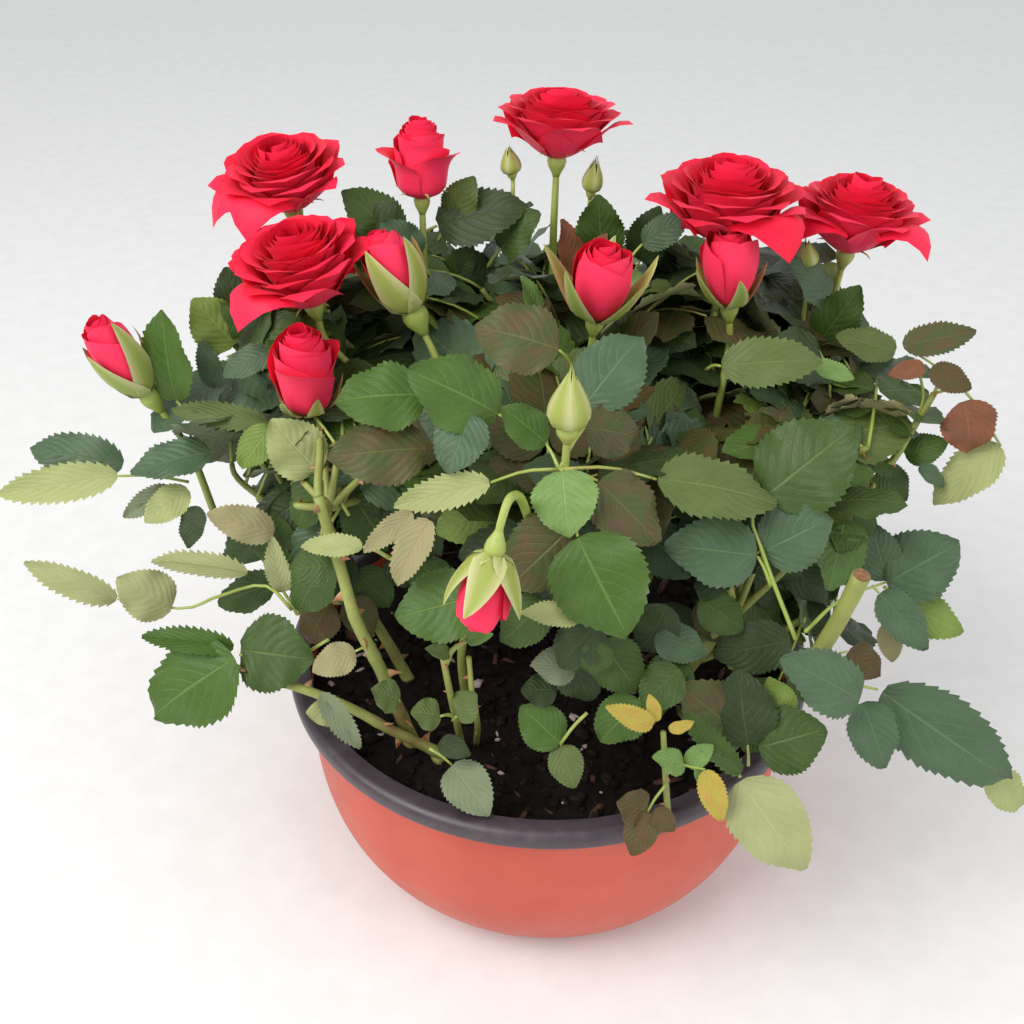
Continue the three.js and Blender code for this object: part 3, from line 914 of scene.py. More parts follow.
rng = random.Random(7)
BLOOM_HIP, BLOOM_SEPAL = (0.0042, 0.0048), (0.012, 0.0, None)
flower("bloom_left_back", 40, 1, BLOOM_HIP, BLOOM_SEPAL, rng, spread=1.05,
       drooping=(math.radians(205), math.radians(248)), foot_off=(-1, 0, 5), tip_off=(-1, 0, 8))
flower("bloom_left", 40, 1, BLOOM_HIP, BLOOM_SEPAL, rng, spread=1.20,
       drooping=(math.radians(228),), foot_off=(-5, 0, 3), tip_off=(-5, 0, 10))
flower("bloom_top", 40, 1, BLOOM_HIP, BLOOM_SEPAL, rng, foot_off=(2, 0, 0), tip_off=(2, 0, 3))
flower("bloom_right_back", 40, 1, BLOOM_HIP, BLOOM_SEPAL, rng, spread=1.04,
       drooping=(math.radians(302),), foot_off=(0, 0, -4), tip_off=(0, 0, 5))
flower("bloom_far_right", 40, 1, BLOOM_HIP, BLOOM_SEPAL, rng, spread=1.16,
       drooping=(math.radians(322), math.radians(208)), foot_off=(-2, 0, -2), tip_off=(-2, 0, 7))
flower("half_open_back", 20, 0.9, (0.0036, 0.0046), (0.013, 0.0, None), rng)
flower("half_open_left", 20, 0.65, (0.0038, 0.0046), (0.015, 0.0048, 0.30), rng)
flower("bud_right", 12, 0.12, (0.0040, 0.0052), (0.022, 0.0056, 0.26), rng)
flower("bud_centre", 12, 0.2, (0.0042, 0.0054), (0.031, 0.0078, 0.50), rng)
flower("bud_centre_left", 12, 0.15, (0.0056, 0.0062), (0.032, 0.0100, 0.16), rng, spread=0.88)
flower("bud_far_left", 12, 0.1, (0.0046, 0.0058), (0.032, 0.0090, 0.07), rng, spread=0.80)
flower("bud_hanging", 10, 0.1, (0.0038, 0.0050), (0.021, 0.0080, 0.30), rng, hangs=True,
       spread=0.80, foot_off=(5, 0, -10))

# Three reds from darkest to palest: the darkest is painted shade on the insides of the inner petals,
# the palest a painted highlight on the outsides of the outer ones.
PETAL_TONES_SHADE_TO_HIGHLIGHT = [((0.58, 0.003, 0.020), (0.79, 0.008, 0.042)),
               ((0.71, 0.006, 0.038), (0.89, 0.018, 0.068)),
               ((0.77, 0.009, 0.050), (0.93, 0.034, 0.104))]


def petal_material(kind, deep, bright):
    """Velvet: faint lengthwise veins, a darker foot that is painted shade deep in the bloom, and a soft
    pale sheen.
    """
    material, tree, surface = shader(f"petal_{kind}")
    place = own_cell(tree, kind)
    parts = node(tree, "ShaderNodeSeparateXYZ", Vector=place)
    fibres_place = node(tree, "ShaderNodeMapping", Vector=place, Scale=(26.0, 2.2, 1.0))
    fibres = node(tree, "ShaderNodeTexNoise", Vector=fibres_place.outputs["Vector"], Scale=1.0,
                  Detail=4.0, Roughness=0.6)
    cloud = node(tree, "ShaderNodeTexNoise", Vector=place, Scale=3.2, Detail=2.0)
    # the red darkens towards each petal's foot (low Y): painted shade deep in the bloom
    level = node(tree, "ShaderNodeMath", Value=parts.outputs["Y"])
    level.operation = "MULTIPLY_ADD"
    level.inputs[1].default_value = 0.55
    tree.links.new(cloud.outputs["Fac"], level.inputs[2])
    blend = node(tree, "ShaderNodeMath", Value=fibres.outputs["Fac"])
    blend.operation = "MULTIPLY_ADD"
    blend.inputs[1].default_value = 0.35
    tree.links.new(level.outputs[0], blend.inputs[2])
    tone = ramp(tree, blend.outputs[0], [(0.45, deep), (1.15 / 1.4, bright)])
    tree.links.new(tone, surface.inputs["Base Color"])
    surface.inputs["Roughness"].default_value = 0.55
    surface.inputs["Sheen Weight"].default_value = 0.10
    surface.inputs["Sheen Roughness"].default_value = 0.45
    surface.inputs["Sheen Tint"].default_value = (1.0, 0.45, 0.55, 1)
    surface.inputs["Specular IOR Level"].default_value = 0.22
    bump = node(tree, "ShaderNodeBump", Height=fibres.outputs["Fac"], Strength=0.25,
                Distance=0.0003)
    tree.links.new(bump.outputs["Normal"], surface.inputs["Normal"])
    return material


petal_materials = [petal_material(k, *tones) for k, tones in enumerate(PETAL_TONES_SHADE_TO_HIGHLIGHT)]
petal_mesh = sheets_mesh("petals", petal_sheet, petals, np.array(petal_outsides),
                         np.array(petal_insides), math.radians(70))
as_piece("petals", petal_mesh, list(flower_feet), petal_materials)


# ---------------------------------------------------------------------------
# Green bud, hips, sepals and flower stalks: the smooth yellow-green parts that
# hold the flowers. Sepals are pale-edged and pointed; the hip is the small
# swelling below them, where the stalk ends.
# ---------------------------------------------------------------------------

rng = random.Random(31)


def teardrop(high, radius):
    """Outside radius of a green bud: full below, drawn out to a long point."""
    return radius * np.sin(np.pi * np.clip(high, 0.001, 1) ** 0.55) ** 1.15


def green_bud(foot, tip, radius):
    """A bud still shut inside its five sepals."""
    axis = unit(tip - foot)
    basis = frame_round(axis, rng)
    tall = np.linalg.norm(tip - foot)
    hips.append(urn.points * (0.62 * radius, 0.62 * radius, 0.13 * tall) @ basis
                + foot + axis * 0.13 * tall)
    start = foot + axis * 0.20 * tall
    for k in range(5):
        made = hugging_sepal(k * FIFTH_TURN, 0.80 * tall, 0.60 * radius,
                             lambda share: teardrop(share, radius), 0.80 * tall, 0.0, rng, 1.0)
        sepals.append(made @ basis + start)
        sepal_kinds.append(4)
    core = ball.points * (0.80 * radius, 0.80 * radius, 0.26 * tall)
    cores.append(core @ basis + start + axis * 0.24 * tall)


shape = bmesh.new()
bmesh.ops.create_uvsphere(shape, u_segments=12, v_segments=8, radius=1)
ball = Pattern(shape)
cores = []
bud_foot, bud_tip = head_line("bud_green")
green_bud(bud_foot, bud_tip, 0.0070)
flower_heads.append(("bud_green", bud_foot, bud_tip, 0.014))
flower_feet["bud_green"] = bud_foot, unit(bud_tip - bud_foot)

# three much smaller ones, beside the top bloom and the one on the far right
SMALL_BUDS = [((-19, 72, 304), (-21, 70, 319)), ((14, 72, 296), (16, 68, 315)),
              ((109, 58, 270), (106, 58, 285))]
small_stalks = []
for foot, tip in SMALL_BUDS:
    foot, tip = np.array(foot) / 1000, np.array(tip) / 1000
    green_bud(foot, tip, 0.0036)
    below = foot - (0, 0.004, 0.034)
    small_stalks.append((curve_through([below, mix(below, foot, 0.6) - (0, 0, 0.002), foot], 8),
                         np.linspace(0.0010, 0.0009, 8)))

smooth_stem = stem_material("smooth_stem", (0.34, 0.44, 0.075), (0.40, 0.33, 0.09),
                            (0.46, 0.54, 0.13), 0.42)
as_piece("hips", urn.copies("hips", hips), ["bud_green"], [smooth_stem])
as_piece("bud_cores", ball.copies("bud_cores", cores), (), [smooth_stem])


def sepal_material(kind, middle, edge):
    material, tree, surface = shader(f"sepal_{kind}")
    place = own_cell(tree, kind)
    across = node(tree, "ShaderNodeSeparateXYZ", Vector=place).outputs["X"]
    off = node(tree, "ShaderNodeMath", Value=across)
    off.operation = "SUBTRACT"
    off.inputs[1].default_value = 0.5
    away = node(tree, "ShaderNodeMath", Value=off.outputs[0])
    away.operation = "ABSOLUTE"
    tone = ramp(tree, away.outputs[0], [(0.12, middle), (0.40, edge)])
    fibres_place = node(tree, "ShaderNodeMapping", Vector=place, Scale=(18.0, 2.0, 1.0))
    fibres = node(tree, "ShaderNodeTexNoise", Vector=fibres_place.outputs["Vector"], Scale=1.0,
                  Detail=3.0)
    shade = node(tree, "ShaderNodeMix")
    shade.data_type = "RGBA"
    shade.blend_type = "MULTIPLY"
    shade.inputs["Factor"].default_value = 0.4
    tree.links.new(tone, shade.inputs[6])
    tree.links.new(fibres.outputs["Color"], shade.inputs[7])
    tree.links.new(shade.outputs[2], surface.inputs["Base Color"])
    surface.inputs["Roughness"].default_value = 0.55
    bump = node(tree, "ShaderNodeBump", Height=fibres.outputs["Fac"], Strength=0.3,
                Distance=0.0003)
    tree.links.new(bump.outputs["Normal"], surface.inputs["Normal"])
    return material


sepal_materials = [sepal_material(4, (0.38, 0.44, 0.080), (0.62, 0.62, 0.27)),
                   sepal_material(5, (0.34, 0.43, 0.09), (0.58, 0.60, 0.26))]
kinds = np.array(sepal_kinds)
sepal_mesh = sheets_mesh("sepals", sepal_sheet, sepals, kinds, kinds, math.radians(70))
own_slots = np.repeat(kinds - 4, len(sepal_sheet.kinds)).astype(np.int32)
sepal_mesh.polygons.foreach_set("material_index", own_slots)
as_piece("sepals", sepal_mesh, (), sepal_materials)

stalk_paths = list(small_stalks)
STALK_STEPS = 24
for name, (foot, axis) in flower_feet.items():
    neck = foot - axis * 0.010
    if name == "bud_hanging":
        arch = foot + (0.003, 0.006, 0.008)
        line = [arch + (0.006, 0.036, -0.034), arch + (0.003, 0.016, -0.010), arch,
                foot - axis * 0.003]
    else:
        solid = f"stalk_{name}"
        start = limb_line(solid)[0][0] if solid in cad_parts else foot
        if (foot - start) @ axis < 0.020:
            start = foot - axis * 0.022 - (0, 0, 0.004)
        line = [start - (0.03 * start[0], 0.03 * start[1], 0.026), start, neck]
    path = curve_through([*line, foot + axis * 0.001], STALK_STEPS)
    radii = np.linspace(0.0018, 0.0014, STALK_STEPS)
    stalk_paths.append((path, radii))
STALK_SOLIDS = [f"stalk_{name}" for name in flower_feet if name != "half_open_left"]


# ---------------------------------------------------------------------------
# Leaves: each leaf has three, five or seven toothed leaflets on a thin stalk.
# They are glossy dark bluish green above and matt and pale below; young ones
# are yellow-green or bronze. Twigs grow on from the canes inside each mass.
# ---------------------------------------------------------------------------

front_leaf = sheet_pattern(4, 14, True)      # for the leaves placed one by one
leaf_sheet = sheet_pattern(2, 9, True)       # for the thousands grown in the masses

DEEP, BLUE, MID, FRESH, YOUNG, BRONZE, RUSTY, SHADE = range(8)
PALE, PALE_FRESH, PALE_RUSTY, PALE_BLUE = range(8, 12)
OLIVE, FLUSHED, SPRING = range(12, 15)
BACK_OF = {DEEP: PALE, BLUE: PALE_BLUE, MID: PALE, FRESH: PALE_FRESH, YOUNG: PALE_FRESH,
           BRONZE: PALE_RUSTY, RUSTY: PALE_RUSTY, SHADE: PALE_BLUE, OLIVE: PALE,
           FLUSHED: PALE_RUSTY, SPRING: PALE_FRESH,
           PALE: DEEP, PALE_FRESH: MID, PALE_RUSTY: BRONZE, PALE_BLUE: BLUE}

twig_paths = []      # thicker, woody
rachis_paths = []    # thin leaf stalks
leaflets = {"place": [], "along": [], "up": [], "length": [], "width": [], "fold": [],
            "droop": [], "twist": [], "wave": [], "kind": [], "stalk": []}


def leaflet(place, along, up, length, kind, rng, width=None, fold=None, droop=None, twist=None):
    along = unit(np.asarray(along, float))
    up = np.asarray(up, float)
    up = unit(up - along * (up @ along))
    leaflets["place"].append(np.asarray(place, float))
    leaflets["along"].append(along)
    leaflets["up"].append(up)
    leaflets["length"].append(length)
    leaflets["width"].append(length * (width or rng.uniform(0.66, 0.80)))
    leaflets["fold"].append(math.radians(rng.uniform(4, 22) if fold is None else fold))
    leaflets["droop"].append(rng.uniform(0.15, 0.75) if droop is None else droop)
    leaflets["twist"].append(rng.uniform(-0.35, 0.35) if twist is None else twist)
    leaflets["wave"].append(rng.uniform(0, 6.28))
    leaflets["kind"].append(kind)
    leaflets["stalk"].append(len(rachis_paths) - 1)


def leaflet_points(sheet, table):
    """Bends every leaflet at once; the result is (leaflets, points, 3)."""
    col = {key: np.array(table[key])[:, None] for key in
           ("length", "width", "fold", "droop", "twist", "wave")}
    s, tooth, side = sheet.across[None], sheet.tooth[None], sheet.side[None]
    t = (0.012 + 0.976 * sheet.along)[None]
    outline = (t ** 0.56) * (1 - t) ** 0.86 / 0.3850
    notch = tooth * 0.032 * np.minimum(col["length"], 0.048) * np.clip(outline * 1.5, 0.3, 1)
    half = 0.5 * col["width"] * outline
    x = s * half + np.sign(s) * notch
    lift = np.abs(x) * np.tan(col["fold"])
    lift = lift + 0.045 * col["width"] * np.abs(s) ** 1.5 * np.sin(15 * t + col["wave"] + 1.3 * s)
    lift = lift - 0.14 * col["width"] * (s * outline) ** 2
    lift = lift + side * 0.00014
    turn = col["twist"] * t
    x, lift = x * np.cos(turn) - lift * np.sin(turn), x * np.sin(turn) + lift * np.cos(turn)
    bend = col["droop"] * t
    mean_bend = np.maximum(col["droop"], 1e-3)
    y = col["length"] * np.sin(mean_bend * t) / mean_bend
    drop = -col["length"] * (1 - np.cos(mean_bend * t)) / mean_bend
    y = y + lift * np.sin(bend)
    z = drop + lift * np.cos(bend)
    place, along, up = (np.array(table[key])[:, None, :] for key in ("place", "along", "up"))
    across = np.cross(along, up)
    return place + across * x[..., None] + along * y[..., None] + up * z[..., None]


def leaf(foot, along, up, size, pairs, kind, rng):
    """A whole leaf: an arching stalk with pairs of leaflets and one at its tip."""
    along = unit(np.asarray(along, float))
    up = np.asarray(up, float)
    up = unit(up - along * (up @ along))
    across = np.cross(along, up)
    stalk = size * rng.uniform(0.45, 0.65)
    gap = size * rng.uniform(0.40, 0.50)
    length = stalk + gap * pairs
    sag = rng.uniform(0.10, 0.28)
    points, leans = [], []
    steps = 6
    for k in range(steps + 1):
        share = k / steps
        points.append(foot + along * length * share + up * length * sag * share * (1 - share) * 1.4
                      - np.array([0, 0, 1]) * length * 0.10 * share ** 2)
    points = np.array(points)
    rachis_paths.append((points, np.linspace(0.00085, 0.0005, steps + 1)))
    tip_along = unit(points[-1] - points[-2])
    leaflet(points[-1], tip_along, up, size * rng.uniform(0.95, 1.1), kind, rng)
    for pair in range(pairs):
        share = (stalk + gap * pair) / length
        spot = points[min(int(share * steps), steps - 1)]
        after = points[min(int(share * steps) + 1, steps)]
        spot = mix(spot, after, share * steps - int(share * steps))
        scale = mix(0.80, 0.94, pair / max(pairs - 1, 1)) if pairs > 1 else 0.88
        for hand in (-1, 1):
            angle = math.radians(rng.uniform(52, 74))
            out = tip_along * math.cos(angle) + across * hand * math.sin(angle)
            out = out + up * rng.uniform(-0.12, 0.18)
            foot_gap = across * hand * 0.0012
            tilt = unit(up + across * hand * rng.uniform(-0.30, 0.10))
            leaflet(spot + foot_gap, out, tilt, size * scale * rng.uniform(0.88, 1.05), kind, rng)


def mm(*numbers):
    return np.array(numbers, float) / 1000


VIEW = unit(np.array(EYE) - np.array([0, 0, 0.20]))
UP = np.array([0.0, 0.0, 1.0])
FACING = unit(VIEW + 0.35 * UP)
placed_spots = []


def placed(foot, tip, kind, width, fold, stalk_from, rng):
    """A leaflet from its foot to its tip, in mm; its blade faces the front."""
    droop = rng.uniform(0.25, 0.75)
    foot, tip = mm(*foot), mm(*tip)
    along = tip - foot
    length = np.linalg.norm(along)
    face = unit(FACING + np.array([rng.uniform(-0.22, 0.22) for _ in range(3)]))
    up = unit(face - along * (face @ along) / length ** 2)
    tipped = unit(along + up * length * droop * 0.5)
    leaflet(foot, tipped, up, length * (1 + droop ** 2 / 24), kind, rng, width, fold + 5, droop,
            rng.uniform(-0.3, 0.3))
    placed_spots.append(((foot + tip) / 2, length * 0.52))
    if stalk_from is not None:
        start = mm(*stalk_from)
        middle = (start + foot) / 2 + UP * np.linalg.norm(foot - start) * 0.08
        rachis_paths.append((curve_through([start, middle, foot], 6), np.linspace(0.0009, 0.0006, 6)))


rng = random.Random(5)
HUB = (3, -60, 243)      # the rosette at the front, round the green bud
# each leaflet's foot, tip, finish, width as a share of its length, fold in degrees,
# and where its own stalk starts, if it has one
SET_LEAVES = [
    ((39, -56, 237), (86, -52, 224), OLIVE, 0.50, 8, HUB),
    ((17, -64, 241), (40, -72, 219), FLUSHED, 0.80, 8, HUB),
    ((4, -64, 245), (7, -82, 228), SPRING, 0.95, 8, HUB),
    ((-22, -62, 238), (-59, -60, 225), PALE_FRESH, 0.30, 26, HUB),
    ((12, -45, 252), (33, -38, 244), FLUSHED, 0.85, 8, HUB),
    ((12, -35, 256), (33, -15, 275), BLUE, 0.72, 10, None),
    ((-2, -52, 249), (-19, -48, 262), MID, 0.70, 12, HUB),
    ((10, -82, 229), (29, -100, 198), MID, 0.86, 6, (4, -62, 240)),
    ((8, -76, 229), (-15, -82, 205), FLUSHED, 0.80, 8, (4, -62, 240)),
    # big leaves to the right of the middle
    ((82, -46, 224), (114, -36, 250), DEEP, 0.84, 6, None),
    ((81, -58, 206), (107, -52, 219), BLUE, 0.84, 8, (84, -70, 199)),
    ((79, -62, 207), (43, -62, 211), BLUE, 0.74, 8, (84, -70, 199)),
    ((66, -4, 257), (106, -4, 260), OLIVE, 0.46, 12, (62, 6, 250)),
    ((104, 4, 254), (121, 2, 249), SPRING, 0.46, 14, None),
    ((144, 30, 247), (119, 36, 251), OLIVE, 0.60, 10, None),
    # standing up along the top of the crown
    ((-66, 58, 283), (-90, 54, 305), DEEP, 0.62, 12, (-58, 60, 276)),
    ((-52, 70, 284), (-12, 66, 295), SHADE, 0.56, 12, (-60, 70, 278)),
    ((20, 64, 273), (17, 60, 303), DEEP, 0.66, 12, (22, 66, 262)),
    ((37, 60, 281), (57, 56, 296), BLUE, 0.52, 12, (30, 60, 270)),
    ((-46, 72, 285), (-35, 68, 307), OLIVE, 0.62, 12, (-52, 72, 276)),
    ((-88, 56, 277), (-66, 52, 300), SHADE, 0.66, 12, (-94, 56, 268)),
    ((-24, 66, 275), (-7, 62, 294), DEEP, 0.70, 12, (-30, 68, 266)),
    ((-58, 50, 277), (-73, 46, 295), BLUE, 0.70, 12, (-54, 52, 268)),
    ((37, 70, 269), (44, 66, 296), SHADE, 0.62, 12, (34, 70, 260)),
    ((119, 56, 258), (99, 52, 277), BLUE, 0.66, 12, (124, 58, 250)),
    ((116, 50, 242), (129, 46, 270), DEEP, 0.62, 12, (112, 52, 234)),
    # small young ones behind the middle bud
    ((8, 58, 268), (2, 60, 292), RUSTY, 0.52, 20, None),
    ((12, 58, 268), (22, 60, 286), RUSTY, 0.46, 16, None),
    ((-2, 30, 262), (-25, 30, 268), BRONZE, 0.50, 22, None),
    ((-8, 30, 260), (-14, 28, 280), SPRING, 0.40, 24, None),
    # to the left of the middle
    ((-20, -40, 254), (-54, -38, 271), MID, 0.78, 8, (-6, -48, 248)),
    ((2, -20, 271), (-31, -14, 277), FLUSHED, 0.80, 8, (8, -18, 262)),
    ((-48, -35, 259), (-82, -40, 258), MID, 0.80, 8, None),
    ((-47, -46, 242), (-84, -52, 241), FLUSHED, 0.66, 8, None),
    ((-30, -45, 257), (-38, -62, 241), BLUE, 0.80, 10, None),
    # high on the left edge
    ((-156, 0, 234), (-157, 6, 273), MID, 0.55, 18, (-146, -4, 222)),
    ((-134, 20, 250), (-149, 20, 271), FRESH, 0.85, 8, None),
    ((-94, -27, 218), (-111, -25, 241), PALE_FRESH, 0.80, 8, (-80, -40, 206)),
    ((-114, 0, 258), (-133, -6, 249), BLUE, 0.56, 10, None),
    ((-113, -20, 236), (-154, -14, 238), OLIVE, 0.22, 28, None),
    ((-111, -24, 237), (-124, -30, 221), FRESH, 0.60, 12, None),
    ((-140, 6, 237), (-146, 14, 256), BLUE, 0.45, 12, None),
    # left: a pale-backed leaf on a long stalk, and dark ones behind it
    ((-182, -12, 204), (-235, -16, 196), PALE_FRESH, 0.27, 24, None),
    ((-183, -2, 203), (-226, 4, 206), BLUE, 0.42, 10, None),
    ((-140, -14, 218), (-173, -22, 212), BLUE, 0.50, 16, None),
    ((-159, -16, 201), (-179, -24, 191), PALE_BLUE, 0.40, 30, None),
    ((-151, -18, 202), (-168, -30, 193), PALE_FRESH, 0.62, 14, None),
    ((-146, -24, 198), (-150, -34, 183), SHADE, 0.62, 14, None),
    ((-113, -34, 192), (-139, -36, 203), PALE_RUSTY, 0.50, 16, None),
    ((-110, -42, 168), (-112, -40, 195), PALE, 0.36, 20, None),
    # left, lower: three pale undersides in a row
    ((-185, -34, 155), (-224, -30, 171), PALE, 0.27, 24, None),
    ((-160, -38, 155), (-181, -40, 171), PALE, 0.80, 8, None),
    ((-125, -38, 174), (-169, -30, 173), PALE, 0.20, 34, None),
    # left, low: two broad leaflets and one edge on
    ((-128, -62, 154), (-168, -58, 155), MID, 0.24, 34, None),
    ((-126, -68, 154), (-164, -72, 124), MID, 0.70, 6, None),
    ((-126, -62, 153), (-94, -68, 154), DEEP, 0.95, 8, None),
    # down the left side
    ((-83, -66, 201), (-100, -66, 198), DEEP, 0.86, 8, None),
    ((-69, -74, 216), (-93, -72, 214), PALE_FRESH, 0.36, 18, (-60, -70, 208)),
    ((-43, -78, 232), (-55, -90, 211), PALE_RUSTY, 0.46, 22, None),
    ((-50, -72, 231), (-68, -80, 218), PALE_RUSTY, 0.34, 22, None),
    ((-75, -78, 168), (-91, -86, 164), PALE_RUSTY, 0.70, 10, (-68, -72, 166)),
    ((-82, -84, 141), (-95, -88, 144), PALE_FRESH, 0.78, 10, None),
    ((-88, -88, 155), (-73, -94, 131), PALE_BLUE, 0.30, 30, None),
    ((-26, -88, 205), (-56, -92, 197), MID, 0.86, 8, (-16, -80, 206)),
    # right, high: the reddish young leaves and a pale one
    ((141, 14, 258), (171, 18, 263), FLUSHED, 0.42, 10, None),
    ((150, 8, 252), (135, 6, 249), RUSTY, 0.50, 14, None),
    ((152, 8, 251), (169, 4, 244), BRONZE, 0.60, 16, None),
    ((167, 4, 239), (173, 0, 217), RUSTY, 0.95, 14, None),
    ((186, 2, 219), (161, -6, 194), PALE_FRESH, 0.52, 12, None),
    ((149, 6, 211), (165, 4, 219), MID, 0.72, 10, None),
    ((138, 2, 207), (150, -4, 194), DEEP, 0.80, 10, None),
    ((153, -2, 211), (164, -6, 203), BLUE, 0.55, 16, None),
    # right, middle: beside the pruned stub
    ((137, -40, 178), (164, -36, 197), BLUE, 0.86, 8, None),
    ((138, -38, 178), (129, -30, 202), BLUE, 0.60, 12, None),
    ((133, -46, 178), (152, -60, 160), BLUE, 0.58, 12, (130, -44, 180)),
    ((143, -42, 171), (169, -50, 161), FRESH, 0.60, 10, (136, -42, 178)),
    ((140, -44, 161), (142, -54, 148), PALE_RUSTY, 0.60, 14, None),
    ((119, -66, 164), (132, -72, 157), BRONZE, 0.95, 10, (112, -66, 160)),
    # right, low: the long drooping leaf with a pale tip
    ((117, -98, 168), (84, -100, 190), BLUE, 0.56, 8, None),
    ((131, -78, 155), (190, -82, 111), BLUE, 0.40, 12, None),
    ((183, -76, 107), (204, -74, 87), PALE_FRESH, 0.56, 12, None),
    ((122, -86, 156), (132, -98, 132), BLUE, 0.66, 10, None),
    ((82, -98, 142), (107, -98, 153), DEEP, 0.95, 8, None),
    ((78, -98, 143), (73, -84, 170), SHADE, 0.80, 8, (80, -96, 130)),
    ((93, -92, 152), (85, -84, 166), FRESH, 0.70, 12, None),
    # front right: a pale underside hanging over the rim
    ((74, -112, 139), (99, -132, 112), PALE, 0.66, 10, None),
    ((74, -112, 142), (49, -96, 161), DEEP, 0.24, 30, None),
    # deeper ones in the shade, between the canes
    ((-84, -22, 172), (-101, -26, 155), SHADE, 0.80, 12, None),
    ((-83, -24, 165), (-68, -28, 150), DEEP, 0.78, 12, None),
    ((-85, -34, 159), (-75, -38, 142), FLUSHED, 0.74, 12, None),
    ((-69, -20, 171), (-55, -24, 159), SHADE, 0.82, 12, None),
    ((-92, -40, 162), (-102, -44, 142), BRONZE, 0.80, 12, None),
    ((-92, -30, 217), (-103, -34, 195), DEEP, 0.74, 12, None),
    ((-65, -24, 204), (-46, -28, 178), SHADE, 0.70, 12, None),
    ((-81, -26, 206), (-67, -30, 182), DEEP, 0.76, 12, None),
    ((-91, -30, 194), (-104, -34, 171), BLUE, 0.76, 12, None),
    ((-73, -20, 215), (-86, -24, 191), SHADE, 0.76, 12, None),
    ((-55, -26, 174), (-43, -30, 155), DEEP, 0.78, 12, None),
    ((-104, -20, 199), (-124, -24, 186), SHADE, 0.76, 12, None),
    ((-112, -26, 195), (-121, -30, 174), DEEP, 0.74, 12, None),
    ((79, -40, 175), (95, -44, 156), DEEP, 0.78, 12, None),
    ((100, -36, 166), (84, -40, 190), SHADE, 0.76, 12, None),
    ((62, -44, 172), (78, -48, 152), FLUSHED, 0.78, 12, None),
    ((91, -56, 161), (75, -60, 147), DEEP, 0.80, 12, None),
    ((59, -40, 163), (46, -44, 143), SHADE, 0.78, 12, None),
    # low in the shade, to the right of the bare middle
    ((96, -66, 169), (65, -70, 164), SHADE, 0.62, 10, None),
    ((78, -90, 139), (49, -94, 170), FLUSHED, 0.60, 10, (82, -84, 128)),
    ((55, -84, 171), (36, -88, 158), DEEP, 0.76, 10, None),
    ((46, -72, 190), (36, -76, 170), SHADE, 0.76, 10, None),
    ((59, -62, 185), (77, -66, 174), DEEP, 0.76, 10, None),
    ((20, -84, 182), (35, -88, 160), DEEP, 0.72, 10, None),
    ((7, -80, 178), (17, -84, 150), SHADE, 0.70, 10, None),
    ((41, -78, 180), (61, -82, 175), BLUE, 0.74, 10, None),
    ((-1, -82, 199), (-17, -86, 181), DEEP, 0.74, 10, None),
    ((19, -86, 193), (4, -90, 174), SHADE, 0.74, 10, None),
    ((36, -90, 158), (21, -94, 139), MID, 0.76, 10, (40, -84, 164)),
    ((-88, -46, 188), (-103, -50, 164), DEEP, 0.72, 10, None),
    # over the soil
    ((-41, -92, 148), (-52, -96, 154), OLIVE, 0.95, 6, (-36, -84, 140)),
    ((-35, -88, 144), (-27, -86, 155), OLIVE, 0.95, 6, (-37, -84, 138)),
    ((-37, -94, 123), (-21, -112, 114), PALE_BLUE, 0.70, 16, (-46, -92, 130)),
    ((6, -96, 139), (-10, -88, 151), MID, 0.82, 8, (16, -92, 152)),
    ((6, -96, 138), (12, -108, 127), OLIVE, 0.76, 10, (16, -92, 152)),
    ((4, -84, 156), (-10, -86, 157), SHADE, 0.95, 8, None),
    ((11, -84, 168), (-6, -88, 173), PALE_BLUE, 0.80, 8, None),
    ((21, -90, 187), (16, -94, 174), DEEP, 0.80, 8, None),
    ((50, -92, 176), (36, -96, 160), DEEP, 0.78, 8, None),
    ((12, -92, 200), (-10, -94, 203), PALE_FRESH, 0.42, 16, None),
    ((-42, -92, 134), (-29, -98, 133), SHADE, 0.60, 12, None),
    ((-57, -90, 154), (-67, -94, 163), OLIVE, 0.90, 8, (-60, -86, 146)),
    # the young shoot at the front
    ((39, -116, 170), (21, -118, 181), YOUNG, 0.36, 20, None),
    ((40, -114, 170), (37, -110, 180), YOUNG, 0.46, 16, None),
    ((45, -114, 166), (54, -114, 171), YOUNG, 0.46, 14, None),
    ((52, -114, 148), (39, -120, 158), SPRING, 0.55, 10, None),
    ((53, -112, 146), (63, -108, 153), SPRING, 0.62, 12, None),
    ((57, -112, 146), (59, -118, 139), SPRING, 0.42, 20, None),
    ((60, -114, 146), (67, -124, 129), YOUNG, 0.46, 20, None),
    ((39, -122, 131), (27, -126, 141), BRONZE, 0.84, 8, None),
    ((39, -124, 133), (33, -134, 120), BRONZE, 0.72, 8, None),
    ((41, -124, 134), (49, -130, 130), BRONZE, 0.80, 10, None),
    # two small ones on the sprout over the soil
    ((-30, -88, 184), (-20, -91, 190), SPRING, 0.46, 20, None),
    ((-37, -86, 175), (-46, -90, 181), OLIVE, 0.50, 20, None),
    # dark ones at the back, behind the left-hand blooms and below the top one
    ((-130, 26, 258), (-136, 30, 281), SHADE, 0.72, 12, None),
    ((-135, 20, 252), (-141, 24, 269), DEEP, 0.66, 12, None),
    ((-31, 74, 253), (-42, 78, 271), SHADE, 0.70, 12, None),
    ((-47, 74, 257), (-37, 78, 272), DEEP, 0.66, 12, None),
]
for foot, tip, kind, width, fold, stalk_from in SET_LEAVES:
    placed(foot, tip, kind, width, fold, stalk_from, rng)
SET_COUNT = len(leaflets["place"])

